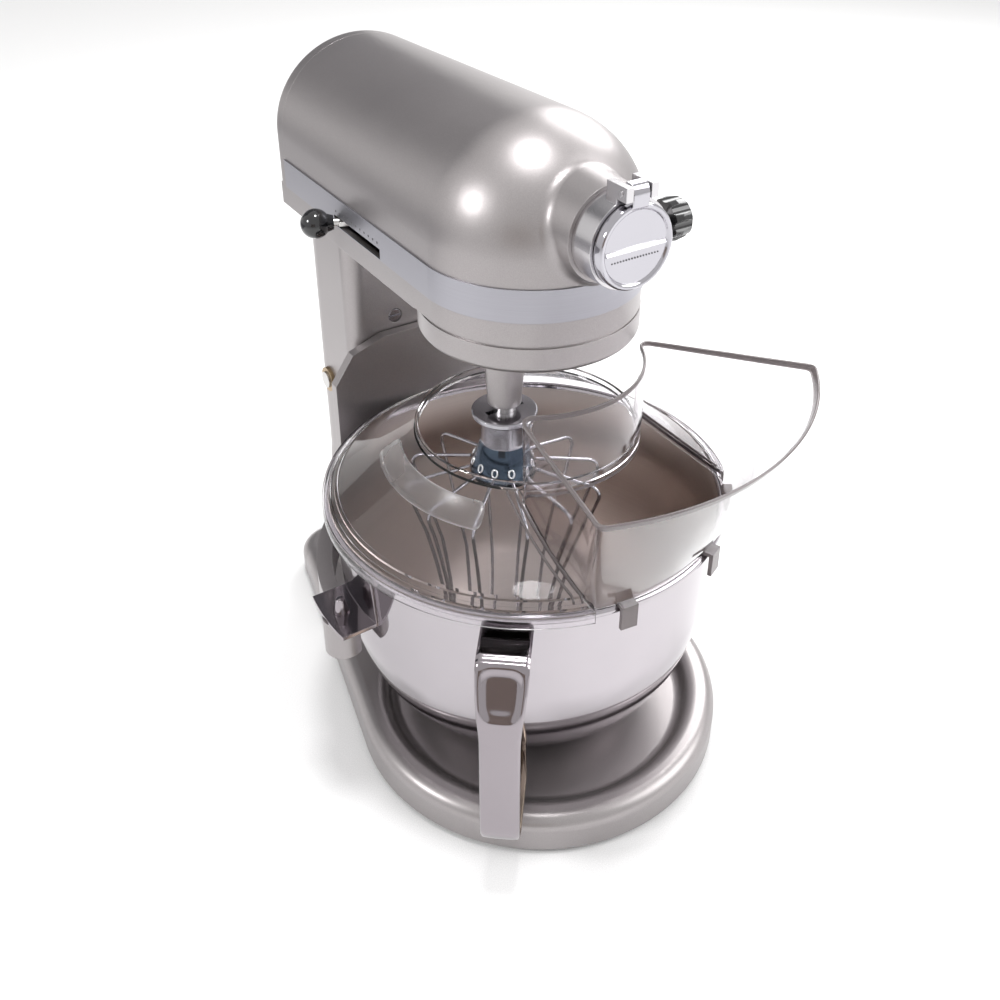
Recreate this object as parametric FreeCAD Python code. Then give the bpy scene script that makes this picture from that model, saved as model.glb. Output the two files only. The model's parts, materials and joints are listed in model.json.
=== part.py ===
"""Bowl-lift stand mixer, as separate sub-parts. Millimetres, +Z up, hub and bowl handle towards -Y.

The model is laid out round the bowl's axis and moved by frameShift as it is saved, so that the
frame's origin is the middle of the footprint, on the table.
"""

import FreeCAD
import Part

import math
import os

V = FreeCAD.Vector
X, Y, Z = V(1, 0, 0), V(0, 1, 0), V(0, 0, 1)
ORIGIN = V(0, 0, 0)

# ---- driving dimensions ----
frameShift = V(0, -47, 0)      # from the bowl axis to the middle of the footprint

footHeight = 4.0
baseRadius = 121.0             # round front of the base
baseCentreY = -16.0
baseRearY = 216.0
baseRearHalf = 80.0
baseTop = 28.0
dishFloor, dishRadius = 18.5, 101.0

columnFront, columnRear = 136.0, 208.0
columnHalf = 50.0
trayBottom, seam, bandTop = 310.0, 325.0, 344.0
caseBottom = 294.0
caseRadius = 63.5

headRadius = 64.0              # half width at the front, and the front's own radius
headRearHalf = 61.0
shoulderFront, shoulderRear = 357.0, 360.0
headTopFront, headTopRear = 419.0, 417.0
shellEnd, headRear = 196.0, 212.0
wall = 3.0

bowlRim, bowlBottom = 180.0, 22.0
rimRadius, bowlWaist, bowlFloorRadius = 125.0, 117.0, 45.0
bowlWall = 1.5
waistHeight = 118.0
liftTravel = 40.0

hubZ, hubFace = 373.0, -86.0
hubRadius, hubBore = 24.0, 16.5

orbit = 27.0                   # centre shaft to beater shaft
orbitAngle = math.radians(207)
beaterX, beaterY = orbit * math.cos(orbitAngle), orbit * math.sin(orbitAngle)
gearModule = 1.5
ringTeeth, pinionTeeth = 54, 18
centreTeeth, sideTeeth = 56, 20
bevelModule, centreBevelTeeth, hubBevelTeeth = 2.0, 32, 20
wormModule, wheelTeeth, wormRadius = 1.75, 16, 7.0
sideX, sideY = 21.0, 52.99     # shaft of the worm wheel, meshed with the centre gear
motorZ = 368.0

liftTeeth = 24
liftRadius = gearModule * liftTeeth / 2
liftY, liftZ = 179.5, 182.0
handleX = 66.0
leverY, leverSwing = 88.0, 22.0
leverZ = 329.0

parts = {}


# ---- helpers ----
def box(x0, x1, y0, y1, z0, z1):
    return Part.makeBox(x1 - x0, y1 - y0, z1 - z0, V(x0, y0, z0))


def rod(radius, start, end):
    """A cylinder from one point to another."""
    along = end - start
    return Part.makeCylinder(radius, along.Length, start, along)


def tube(outer, inner, start, end):
    return rod(outer, start, end).cut(rod(inner, start - (end - start), end + (end - start)))


def cone(r0, r1, start, end):
    along = end - start
    return Part.makeCone(r0, r1, along.Length, start, along)


def upright(radius, z0, z1, x=0.0, y=0.0):
    return rod(radius, V(x, y, z0), V(x, y, z1))


def uprightTube(outer, inner, z0, z1, x=0.0, y=0.0):
    return tube(outer, inner, V(x, y, z0), V(x, y, z1))


def fuse(shapes):
    first, rest = shapes[0], shapes[1:]
    return first.multiFuse(rest).removeSplitter() if rest else first


def group(shapes):
    """Separate solids that share one node."""
    return Part.makeCompound(shapes)


def polygon(points):
    return Part.Face(Part.makePolygon(points + [points[0]]))


def lathe(points, centre=ORIGIN, axis=Z):
    """Turns a closed outline of (radius, height) points round an axis."""
    face = polygon([V(r, 0, h) for r, h in points])
    solid = face.revolve(ORIGIN, Z, 360)
    if axis == Y:
        solid.rotate(ORIGIN, X, -90)
    if axis == X:
        solid.rotate(ORIGIN, Y, 90)
    solid.translate(centre)
    return solid


def arc(points):
    return Part.Arc(*points).toShape()


def lineTo(a, b):
    return Part.LineSegment(a, b).toShape()


def onCircle(radius, degrees, z=0.0):
    a = math.radians(degrees)
    return V(radius * math.cos(a), radius * math.sin(a), z)


def roundedPath(points, radii):
    """Straight runs joined by tangent arcs at the inner points."""
    edges, last = [], points[0]
    for before, corner, after, radius in zip(points, points[1:], points[2:], radii):
        u = (before - corner).normalize()
        v = (after - corner).normalize()
        half = u.getAngle(v) / 2
        reach = radius / math.tan(half)
        a, b = corner + u * reach, corner + v * reach
        middle = corner + (u + v).normalize() * (radius / math.sin(half) - radius)
        edges += [lineTo(last, a), arc([a, middle, b])]
        last = b
    edges.append(lineTo(last, points[-1]))
    return Part.Wire(edges)


def sweepRound(path, radius):
    """A round wire along a path that starts in any direction."""
    start = path.Edges[0]
    u = start.FirstParameter
    ring = Part.Wire(Part.makeCircle(radius, start.valueAt(u), start.tangentAt(u)))
    return path.makePipeShell([ring], True, True)


def coil(radius, wire, pitch, height, x, y, z):
    path = Part.makeHelix(pitch, height, radius)
    ring = Part.Wire(Part.makeCircle(wire, V(radius, 0, 0), Y))
    solid = Part.Wire(path).makePipeShell([ring], True, True)
    solid.translate(V(x, y, z))
    return solid


def mirrored(shape):
    return shape.mirror(ORIGIN, X)


def both(shape):
    return [shape, mirrored(shape)]


# ---- gears ----
def involuteFlank(baseRadius_, radius):
    """Polar angle that an involute has gained at a radius."""
    if radius <= baseRadius_:
        return 0.0
    t = math.sqrt((radius / baseRadius_) ** 2 - 1)
    return t - math.atan(t)


def gearPoints(teeth, module, add, ded, slack, phase=0.0):
    """Outline of a gear with a tooth centred on the angle phase, in its own plane."""
    pitch = module * teeth / 2
    base = pitch * math.cos(math.radians(20))
    half = (math.pi * module / 2 - slack) / 2 / pitch
    low, high = pitch - ded, pitch + add
    radii = [max(low, base) + (high - max(low, base)) * i / 3 for i in range(4)]
    flank = [(r, half + involuteFlank(base, pitch) - involuteFlank(base, r)) for r in radii]
    if low < base:
        flank.insert(0, (low, flank[0][1]))
    points = []
    for k in range(teeth):
        middle = phase + 2 * math.pi * k / teeth
        for side, run in ((-1, flank), (1, flank[::-1])):
            points += [V(r * math.cos(middle + side * a), r * math.sin(middle + side * a), 0)
                       for r, a in run]
    return points


def spurGear(teeth, module, z0, z1, x=0.0, y=0.0, phase=0.0, slack=0.3, add=None, ded=None):
    add = module if add is None else add
    ded = 1.25 * module if ded is None else ded
    gear = polygon(gearPoints(teeth, module, add, ded, slack, phase)).extrude(V(0, 0, z1 - z0))
    gear.translate(V(x, y, z0))
    return gear


def bevelGear(teeth, module, distance, phase, slack, add, ded):
    """Teeth that taper to an apex at the origin; the large end faces -Z at the given distance."""
    large = gearPoints(teeth, module, add, ded, slack, phase)
    wires = []
    for scale in (1.0, 0.72):
        ring = [V(p.x * scale, p.y * scale, -distance * scale) for p in large]
        wires.append(Part.makePolygon(ring + [ring[0]]))
    return Part.makeLoft(wires, True, True)


# ---- base ----
def baseOutline(inset=0.0):
    """Round front, straight tapering sides, rounded rear corners."""
    r = baseRadius - inset
    half, rear = baseRearHalf - inset, baseRearY - inset
    corner = 26.0
    centre = V(0, baseCentreY, 0)
    tip = V(baseRearHalf, baseRearY - corner, 0) - centre
    touch = math.atan2(tip.y, tip.x) - math.acos(baseRadius / tip.Length)
    p = centre + V(r * math.cos(touch), r * math.sin(touch), 0)
    q = V(half, rear - corner, 0)
    k = corner * (1 - math.sqrt(0.5))
    right = [lineTo(p, q), arc([q, V(half - k, rear - k, 0), V(half - corner, rear, 0)])]
    left = [mirrored(e) for e in right]
    front = arc([p, centre + V(0, -r, 0), V(-p.x, p.y, 0)])
    back = lineTo(V(half - corner, rear, 0), V(corner - half, rear, 0))
    return Part.Face(Part.Wire(Part.__sortEdges__(right + left + [front, back])))


def raised(face, z0, z1):
    solid = face.extrude(V(0, 0, z1 - z0))
    solid.translate(V(0, 0, z0))
    return solid


footPlaces = [(0.0, -114.0), (88.0, -60.0), (-88.0, -60.0), (58.0, 184.0), (-58.0, 184.0)]


def makeBase():
    body = raised(baseOutline(), footHeight, baseTop)
    top = [e for e in body.Edges if e.BoundBox.ZMin > baseTop - 0.01]
    body = body.makeFillet(9.0, top)
    dish = upright(dishRadius, dishFloor, baseTop + 5, 0, baseCentreY)
    low = [e for e in dish.Edges if e.BoundBox.ZMax < dishFloor + 0.01]
    body = body.cut(dish.makeFillet(7.0, low))
    lip = [e for e in body.Edges if e.BoundBox.ZLength < 0.01 and abs(e.BoundBox.ZMin - baseTop) < 0.01
           and abs(e.BoundBox.YMin - (baseCentreY - dishRadius)) < 0.5]
    body = body.makeFillet(9.0, lip)
    body = body.cut(raised(baseOutline(5.0), footHeight - 1, 13.0))
    body = body.fuse([upright(6.5, 8.0, 13.5, x, y) for x, y in footPlaces])
    body = body.cut([upright(2.1, 2.0, 12.0, x, y) for x, y in footPlaces])
    parts["base_casting"] = body

    plate = raised(baseOutline(5.4), 6.4, 7.9)
    parts["base_plate"] = plate.cut([upright(2.1, 0, 12, x, y) for x, y in footPlaces])
    foot = lathe([(2.1, 2.2), (4.2, 2.2), (4.2, 0), (11, 0), (13, 2), (13, 6.3), (2.1, 6.3)])
    screw = lathe([(0, 0), (3.4, 0), (3.8, 0.5), (3.8, 1.5), (2.0, 1.5), (2.0, 10.6), (0, 10.6)])
    screw.translate(V(0, 0, 0.6))
    parts["rubber_feet"] = group([foot.translated(V(x, y, 0)) for x, y in footPlaces])
    parts["foot_screws"] = group([screw.translated(V(x, y, 0)) for x, y in footPlaces])


# ---- column and bowl lift ----
def roundedRectangle(half, front, rear, z, rFront, rRear):
    kf, kr = rFront * (1 - math.sqrt(0.5)), rRear * (1 - math.sqrt(0.5))
    edges = [
        lineTo(V(-half, front + rFront, z), V(-half, rear - rRear, z)),
        arc([V(-half, rear - rRear, z), V(-half + kr, rear - kr, z), V(-half + rRear, rear, z)]),
        lineTo(V(-half + rRear, rear, z), V(half - rRear, rear, z)),
        arc([V(half - rRear, rear, z), V(half - kr, rear - kr, z), V(half, rear - rRear, z)]),
        lineTo(V(half, rear - rRear, z), V(half, front + rFront, z)),
        arc([V(half, front + rFront, z), V(half - kf, front + kf, z), V(half - rFront, front, z)]),
        lineTo(V(half - rFront, front, z), V(-half + rFront, front, z)),
        arc([V(-half + rFront, front, z), V(-half + kf, front + kf, z), V(-half, front + rFront, z)]),
    ]
    return Part.Wire(edges)


def columnBody(inset):
    steps = [(baseTop, 64.0, 131.0, 207.5), (62.0, 55.0, 134.5, columnRear),
             (120.0, columnHalf, columnFront, columnRear), (trayBottom, columnHalf, columnFront, columnRear)]
    wires = [roundedRectangle(half - inset, front + inset, rear - inset, z, 11 - inset, 24 - inset)
             for z, half, front, rear in steps]
    return Part.makeLoft(wires, True, True)


rodHalf, rodY, rodRadius, rodLow = 24.0, 151.5, 4.0, 30.0
columnScrewZ = 243.0
slotBottom, slotTop = 131.5, 228.5


def makeColumn():
    body = columnBody(0.0).cut(columnBody(4.0))
    body = body.cut(box(-9.6, 9.6, 130, 145, slotBottom, slotTop))
    body = body.cut(rod(9.05, V(-60, liftY, liftZ), V(60, liftY, liftZ)))
    for x in (-17.0, 17.0):
        body = body.cut(rod(5.2, V(x, 130, columnScrewZ), V(x, columnFront + 2.2, columnScrewZ)))
        body = body.cut(rod(2.1, V(x, 130, columnScrewZ), V(x, 142, columnScrewZ)))
    floor = box(-80, 80, 120, 220, baseTop, baseTop + 6).common(columnBody(1.0))
    roof = box(-60, 60, 130, 210, 302, 307).common(columnBody(1.0))
    body = fuse([body, floor, roof])
    holes = [upright(rodRadius + 0.02, rodLow - 0.1, 305, x, rodY) for x in (-rodHalf, rodHalf)]
    parts["column"] = body.cut(holes)
    screw = lathe([(0, 0), (2.0, 0), (2.0, 5.0), (4.9, 5.0), (4.9, 6.2), (4.3, 6.9), (0, 6.9)], axis=Y)
    screw.rotate(ORIGIN, X, 180)
    screw = screw.cut(box(-6, 6, -8, -5.9, -0.6, 0.6))
    screw.translate(V(0, columnFront + 7.1, columnScrewZ))
    parts["slotted_screws"] = [screw.translated(V(x, 0, 0)) for x in (-17.0, 17.0)]
    parts["guide_rods"] = group([upright(rodRadius, rodLow, 304.8, x, rodY) for x in (-rodHalf, rodHalf)])
    bush = tube(9.0, 6.06, V(45.6, liftY, liftZ), V(52.5, liftY, liftZ))
    parts["bronze_bushes"] = both(bush)
    springs = [coil(6.6, 0.8, 7.5, 90.0, x, rodY, 35.2) for x in (-rodHalf, rodHalf)]
    parts["lift_springs"] = group(springs)


def makeLift():
    z0, z1 = 128.0, 196.0
    bars = [box(-34, 34, 144, 159.2, z0, z1), box(-9, 9, 135.2, 144, 133.5, 186.5)]
    cheek = box(9.2, 13.2, 159, 203, z0, z1)
    slot = box(9, 14, liftY - 6.6, liftY + 6.6, liftZ - liftTravel - 7, liftZ + 7)
    bars += both(cheek.cut(slot))
    rackLine = liftY + liftRadius
    bars.append(box(-9.3, 9.3, rackLine + 1.95, 203, z0, z1))
    tooth, pitch = gearModule * 0.36 * math.pi, math.pi * gearModule
    count = 12
    for k in range(-count + 2, 3):
        mid = liftZ + (k + 0.5) * pitch
        if z0 + 1 < mid < z1 - 1:
            flank = math.tan(math.radians(20))
            wide = tooth / 2 + 1.95 * flank
            tip = tooth / 2 - 1.4 * flank
            outline = [V(-8.5, rackLine + 1.96, mid - wide), V(-8.5, rackLine + 1.96, mid + wide),
                       V(-8.5, rackLine - 1.4, mid + tip), V(-8.5, rackLine - 1.4, mid - tip)]
            bars.append(polygon(outline).extrude(V(17, 0, 0)))
    slider = fuse(bars)
    holes = [upright(rodRadius + 0.06, z0 - 1, z1 + 1, x, rodY) for x in (-rodHalf, rodHalf)]
    parts["lift_slider"] = slider.cut(holes)

    gear = spurGear(liftTeeth, gearModule, -6, 6, slack=0.4)
    gear = gear.cut(upright(5.99, -10, 10))
    gear.rotate(ORIGIN, Y, 90)
    gear.translate(V(0, liftY, liftZ))
    parts["lift_pinion"] = gear
    parts["lift_shaft"] = rod(5.99, V(-54, liftY, liftZ), V(handleX + 4, liftY, liftZ))
    down = math.radians(-37.0)
    reach = 74.0
    end = V(handleX, liftY + reach * math.cos(down), liftZ + reach * math.sin(down))
    start = V(handleX, liftY, liftZ)
    hub = tube(11.0, 6.0, V(54.0, liftY, liftZ), V(handleX + 6, liftY, liftZ))
    bar = Part.makeLoft([Part.Wire(Part.makeCircle(6.0, start + (end - start) * 0.12, end - start)),
                         Part.Wire(Part.makeCircle(4.2, end, end - start))], True, True)
    bar = bar.cut(rod(6.0, V(50, liftY, liftZ), V(90, liftY, liftZ)))
    parts["lift_handle"] = fuse([hub, bar])
    tipDir = (end - start).normalize()
    grip = Part.makeSphere(13.0, end + tipDir * 9.0)
    grip = grip.fuse(cone(7.5, 9.5, end - tipDir * 12, end + tipDir * 2))
    parts["lift_grip"] = grip.cut(cone(6.0, 4.2, start + (end - start) * 0.12, end + tipDir * 0.0))


yokeIn, yokeOut, yokeLow, yokeHigh = 124.0, 134.0, 111.0, 134.0
lugAngle = -2.0


def makeYoke():
    ring = uprightTube(yokeOut, yokeIn, yokeLow, yokeHigh)
    ring = ring.common(box(-150, 150, -6, 150, 100, 140))
    plateEdge = [V(-68, 128, yokeLow), V(68, 128, yokeLow), V(68, 128, 206), V(54, 128, 226), V(30, 128, 234),
                 V(-30, 128, 234), V(-54, 128, 226), V(-68, 128, 206)]
    plate = polygon(plateEdge).extrude(V(0, 7.0, 0))
    web = box(-68, 68, 100, 135, yokeLow, yokeHigh).cut(upright(129.0, 100, 140))
    lug = upright(11.5, yokeLow - 2, yokeHigh, 131.0, 0)
    lugs = both(lug.cut(upright(yokeIn, 100, 140)))
    yoke = fuse([ring, plate, web] + lugs)
    yoke = yoke.cut(rod(5.0, V(0, 120, 163), V(0, 140, 163)))
    for x in (-131.0, 131.0):
        yoke = yoke.cut(upright(3.02, 117, 140, x, 0))
    parts["bowl_yoke"] = yoke
    pin = lathe([(0, 0), (3.0, 0), (3.0, 14), (4.6, 14.2), (4.6, 17.5), (2.6, 26), (0, 26.6)])
    parts["locating_pins"] = group([pin.translated(V(x, 0, yokeHigh - 13.9)) for x in (-131.0, 131.0)])
    spring = box(-11, 11, 126.2, 127.9, 146, 173)
    parts["bowl_latch_spring"] = spring.cut(rod(5.0, V(0, 120, 163), V(0, 140, 163)))


# ---- bowl ----
def bowlCurve(inset):
    """Half section of the bowl's wall from the floor's edge to under the rim."""
    centre = V(bowlFloorRadius, 0, waistHeight)
    wide, deep = bowlWaist - bowlFloorRadius - inset, waistHeight - bowlBottom - inset
    ellipse = Part.Ellipse(centre + V(0, 0, deep), centre + V(wide, 0, 0), centre)
    curve = Part.ArcOfEllipse(ellipse, math.pi / 2, math.pi).toShape()
    ends = sorted((v.Point for v in curve.Vertexes), key=lambda p: p.z)
    return curve, ends[0], ends[1]


def bowlSolid(inset, top):
    curve, floor, waist = bowlCurve(inset)
    high = V(rimRadius - 4.0 - inset, 0, top)
    edges = [curve, lineTo(waist, high), lineTo(high, V(0, 0, top)),
             lineTo(V(0, 0, top), V(0, 0, floor.z)), lineTo(V(0, 0, floor.z), floor)]
    return Part.Face(Part.Wire(Part.__sortEdges__(edges))).revolve(ORIGIN, Z, 360)


def makeBowl():
    shell = bowlSolid(0.0, bowlRim - 2.4).cut(bowlSolid(bowlWall, bowlRim - 2.4))
    bead = Part.makeTorus(rimRadius - 2.6, 2.4, V(0, 0, bowlRim - 2.4))
    foot = uprightTube(48.0, 44.0, bowlBottom - 2.0, bowlBottom + 3.0).cut(bowlSolid(0.0, bowlRim - 2.4))
    parts["bowl"] = fuse([shell, bead, foot])

    outer = bowlSolid(0.0, bowlRim - 2.4)
    tab = box(112, 142, -21, 21, yokeHigh + 0.1, yokeHigh + 2.6).cut(upright(4.75, 130, 140, 131, 0))
    tab = tab.common(upright(141.5, 130, 140))
    # the welded plate follows the bowl's side
    plate = box(112, 124, -21, 21, yokeHigh + 0.1, 168).common(outerSleeve(2.0))
    bracket = fuse([tab.cut(outer), plate.cut(outer)])
    parts["bowl_brackets"] = group(both(bracket))
    pin = rod(4.2, V(0, 116, 163), V(0, 131.5, 163)).cut(outer)
    parts["bowl_catch_pin"] = pin

    angle = -128.5
    outline = roundedLoop([(100, 167), (158.4, 167), (158.4, 39.5), (84, 39.5), (84, 52)], [13, 20, 10])
    handle = outline.extrude(V(0, 27.0, 0))
    handle.translate(V(0, -13.5, 0))
    handle.rotate(ORIGIN, Z, angle)
    parts["bowl_handle"] = handle.cut(outer)


def outerSleeve(extra):
    """A skin round the upper wall of the bowl."""
    low, high = 118.0, bowlRim - 6
    profile = [(bowlWaist - 1, low), (bowlWaist + extra, low), (rimRadius - 4.2 + extra, high), (rimRadius - 6, high)]
    return lathe(profile)


def roundedLoop(points, radii):
    """A strip of even thickness along a path in the XZ plane, as a face."""
    thick = 3.6
    path = [V(x, 0, z) for x, z in points]
    outer = roundedPath(path, radii)
    inner = outer.makeOffset2D(thick, fill=False, openResult=True)
    a, b = [outer.OrderedVertexes[i].Point for i in (0, -1)]
    c, d = [inner.OrderedVertexes[i].Point for i in (0, -1)]
    if (a - c).Length > (a - d).Length:
        c, d = d, c
    edges = outer.Edges + inner.Edges + [lineTo(a, c), lineTo(b, d)]
    return Part.Face(Part.Wire(Part.__sortEdges__(edges)))


# ---- pouring shield ----
shieldWall = 2.2
shieldOpening, shieldTop = 67.0, 222.0
chuteTop, chuteLow = 272.0, 170.0
chuteInner, chuteOuterTop, chuteOuterLow = 69.0, 165.0, 121.0


def chuteOutline(z, outerRadius, innerAngles, outerAngles, inset):
    """Closed wire: inner arc, right side, outer arc, left side."""
    ri, ro = chuteInner + inset, outerRadius - inset
    ti = math.degrees(inset / ri)
    to = math.degrees(inset / ro)
    a0, a1 = innerAngles[0] + ti, innerAngles[1] - ti
    b0, b1 = outerAngles[0] + to, outerAngles[1] - to
    inner = arc([onCircle(ri, a0, z), onCircle(ri, (a0 + a1) / 2, z), onCircle(ri, a1, z)])
    outer = arc([onCircle(ro, b1, z), onCircle(ro, (b0 + b1) / 2, z), onCircle(ro, b0, z)])
    right = lineTo(onCircle(ri, a1, z), onCircle(ro, b1, z))
    left = lineTo(onCircle(ro, b0, z), onCircle(ri, a0, z))
    return Part.Wire([inner, right, outer, left])


def chuteSolid(inset, low, high):
    """The hopper's outline between two heights, widening upwards."""
    wires = []
    for z in (low, high):
        t = (z - bowlRim) / (chuteTop - bowlRim)
        outer = chuteOuterLow + (chuteOuterTop - chuteOuterLow) * t
        wires.append(chuteOutline(z, outer, (-127.0, -19.0), (-106.0 - 6.0 * t, -30.0 - 7.5 * t), inset))
    return Part.makeLoft(wires, True, True)


def coneUnder(lift):
    """Everything under the shield's sloping skin, raised by lift."""
    slope = (shieldTop - bowlRim) / (124.0 - shieldOpening)
    reach = 200.0
    apexDrop = (reach - shieldOpening) * slope
    return cone(reach, shieldOpening, V(0, 0, shieldTop - apexDrop + lift), V(0, 0, shieldTop + lift)).fuse(
        upright(shieldOpening, 0, shieldTop + lift))


def makeShield():
    profile = [(124.0, bowlRim + 0.2), (126.8, bowlRim + 0.2), (126.8, bowlRim + 1.8), (124.6, bowlRim + 2.6),
               (shieldOpening + 1.2, shieldTop + 2.4), (shieldOpening + 1.2, shieldTop + 6.0),
               (shieldOpening - 1.0, shieldTop + 6.0), (shieldOpening - 1.0, shieldTop + 0.6)]
    skirt = lathe(profile)
    skirt = skirt.fuse(uprightTube(126.8, 125.2, bowlRim - 6.0, bowlRim + 1.0))
    gap = chuteSolid(-0.3, chuteLow, chuteTop)
    wedge = Part.Face(Part.Wire([lineTo(ORIGIN, onCircle(150, -106.5)),
                                 arc([onCircle(150, -106.5), onCircle(150, -68), onCircle(150, -29.5)]),
                                 lineTo(onCircle(150, -29.5), ORIGIN)]))
    wedge = raised(wedge, 150, 250).cut(upright(118.0, 140, 260))
    parts["pouring_shield"] = biggest(skirt.cut(gap).cut(wedge))
    # the hopper stands on the shield's cone and hooks over the rim with three tabs
    hopper = chuteSolid(0.0, chuteLow, chuteTop).cut(chuteSolid(shieldWall, chuteLow, chuteTop))
    hopper = hopper.cut(coneUnder(-2.0)).cut(upright(200.0, 100, bowlRim + 0.4))
    parts["pouring_chute"] = biggest(hopper)
    clips = []
    for degrees in (-98.0, -66.0, -38.0):
        hook = box(117.5, 129.0, -5, 5, bowlRim + 0.2, bowlRim + 2.4)
        hook = hook.fuse(box(126.6, 129.0, -5, 5, bowlRim - 13, bowlRim + 2.4))
        hook.rotate(ORIGIN, Z, degrees)
        clips.append(hook.cut(chuteSolid(0.0, chuteLow, chuteTop)))
    parts["chute_clips"] = group([biggest(c) for c in clips])


def biggest(shape):
    return max(shape.Solids, key=lambda s: s.Volume)


# ---- head ----
def headLoft(inset, front, rear, bottom):
    """The straight part of the head, between two upright sections."""
    wires = []
    for y in (front, rear):
        t = y / headRear
        half = headRadius + (headRearHalf - headRadius) * t - inset
        shoulder = shoulderFront + (shoulderRear - shoulderFront) * t
        top = headTopFront + (headTopRear - headTopFront) * t - inset
        centre = V(0, y, shoulder)
        ellipse = Part.Ellipse(centre + V(half, 0, 0), centre + V(0, 0, top - shoulder), centre)
        over = Part.ArcOfEllipse(ellipse, 0, math.pi).toShape()
        wires.append(Part.Wire([
            over, lineTo(V(-half, y, shoulder), V(-half, y, bottom)), lineTo(V(-half, y, bottom), V(half, y, bottom)),
            lineTo(V(half, y, bottom), V(half, y, shoulder))]))
    return Part.makeLoft(wires, True, True)


def headFront(inset, bottom):
    """The round front: an upright wall under a quarter of an ellipsoid."""
    r, top = headRadius - inset, headTopFront - inset
    centre = V(0, 0, shoulderFront)
    ellipse = Part.Ellipse(centre + V(r, 0, 0), centre + V(0, 0, top - shoulderFront), centre)
    curve = Part.ArcOfEllipse(ellipse, 0, math.pi / 2).toShape()
    edges = [curve, lineTo(V(0, 0, top), V(0, 0, bottom)), lineTo(V(0, 0, bottom), V(r, 0, bottom)),
             lineTo(V(r, 0, bottom), V(r, 0, shoulderFront))]
    solid = Part.Face(Part.Wire(edges)).revolve(ORIGIN, Z, -180)
    return solid


def headSolid(inset, rear, bottom=seam):
    return headFront(inset, bottom).fuse(headLoft(inset, 0.0, rear, bottom))


def headOutline(inset, rear):
    """Plan of the head at the seam."""
    r = headRadius - inset
    half = headRadius + (headRearHalf - headRadius) * rear / headRear - inset
    edges = [arc([V(r, 0, 0), V(0, -r, 0), V(-r, 0, 0)]), lineTo(V(-r, 0, 0), V(-half, rear, 0)),
             lineTo(V(-half, rear, 0), V(half, rear, 0)), lineTo(V(half, rear, 0), V(r, 0, 0))]
    return Part.Face(Part.Wire(edges))


hubBossEnd = -71.0


def roundsTheHub(edge):
    """True for the edges where the hub's boss meets the head."""
    first, last = edge.ParameterRange
    points = [edge.valueAt(first + (last - first) * k / 6) for k in range(7)]
    away = [math.hypot(p.x, p.z - hubZ) for p in points]
    return hubRadius < min(away) and max(away) < 34 and max(p.y for p in points) < -20 and (
        min(p.y for p in points) > hubBossEnd + 0.5)


leverSlot = (leverY - 31.0, leverY + 31.0, leverZ - 3.2, leverZ + 3.2)


def makeHousings():
    y0, y1, z0, z1 = leverSlot
    slot = box(-80, -50, y0, y1, z0, z1)
    outside = headSolid(0.0, shellEnd).removeSplitter()
    boss = cone(28.5, 26.0, V(0, -30, hubZ), V(0, hubBossEnd, hubZ))
    outside = outside.fuse(boss).removeSplitter()
    outside = outside.makeFillet(8.0, [e for e in outside.Edges if roundsTheHub(e)])
    shell = outside.cut(headSolid(wall, shellEnd + 5, seam - 5))
    shell = shell.cut(rod(hubRadius + 0.05, V(0, -30, hubZ), V(0, -80, hubZ)))
    shell = shell.cut(rod(3.1, V(10, -72, hubZ), V(60, -72, hubZ)))
    parts["motor_housing"] = biggest(shell.cut(slot))

    cover = headLoft(0.0, shellEnd + 0.1, headRear, seam)
    edge = [e for e in cover.Edges if e.BoundBox.YMin > headRear - 0.01]
    cover = cover.makeFillet(9.0, edge)
    cover = cover.cut(headLoft(wall, shellEnd - 1, headRear - wall, seam + wall))
    cover = cover.cut(rod(8.05, V(0, 200, 342), V(0, 220, 342)))
    cover = cover.cut(rod(2.1, V(0, 200, 396), V(0, 220, 396)))
    parts["rear_cover"] = cover
    screw = lathe([(0, 0), (2.0, 0), (2.0, 9.0), (4.6, 9.0), (4.4, 10.6), (3.2, 11.4), (0, 11.4)], axis=Y)
    screw = screw.cut(box(-6, 6, 10.2, 13, -0.6, 0.6))
    screw.translate(V(0, headRear - 9.0, 396))
    parts["slotted_screws"].append(screw)
    gland = lathe([(4.2, -6), (7.9, -6), (7.9, 0), (10.5, 0.1), (10.0, 3.0), (6.5, 4.5), (4.2, 4.5)], axis=Y)
    gland.translate(V(0, headRear, 342))
    parts["cord_inlet"] = gland

    band = raised(headOutline(-0.9, shellEnd), seam + 0.2, bandTop)
    band = band.cut(raised(headOutline(-0.05, shellEnd + 5), seam - 1, bandTop + 1)).cut(outside)
    parts["trim_band"] = biggest(band.cut(slot))

    tray = raised(headOutline(0.8, headRear - 3), trayBottom, seam - 0.1)
    tray = tray.cut(raised(headOutline(4.0, headRear - 7), trayBottom + 3, seam + 1))
    case = upright(caseRadius, caseBottom, trayBottom)
    foot = [e for e in case.Edges if e.BoundBox.ZMax < caseBottom + 0.01]
    case = case.makeFillet(4.0, foot)
    tray = fuse([tray, case])
    tray = tray.cut([upright(58.0, caseBottom - 1, trayBottom + 0.0), upright(56.0, 300, 320),
                     uprightTube(70, caseRadius - 1.0, trayBottom - 0.6, trayBottom + 0.6)
                    .common(box(-80, 80, -80, 20, 300, 320))])
    parts["lower_housing"] = biggest(tray)


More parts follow.
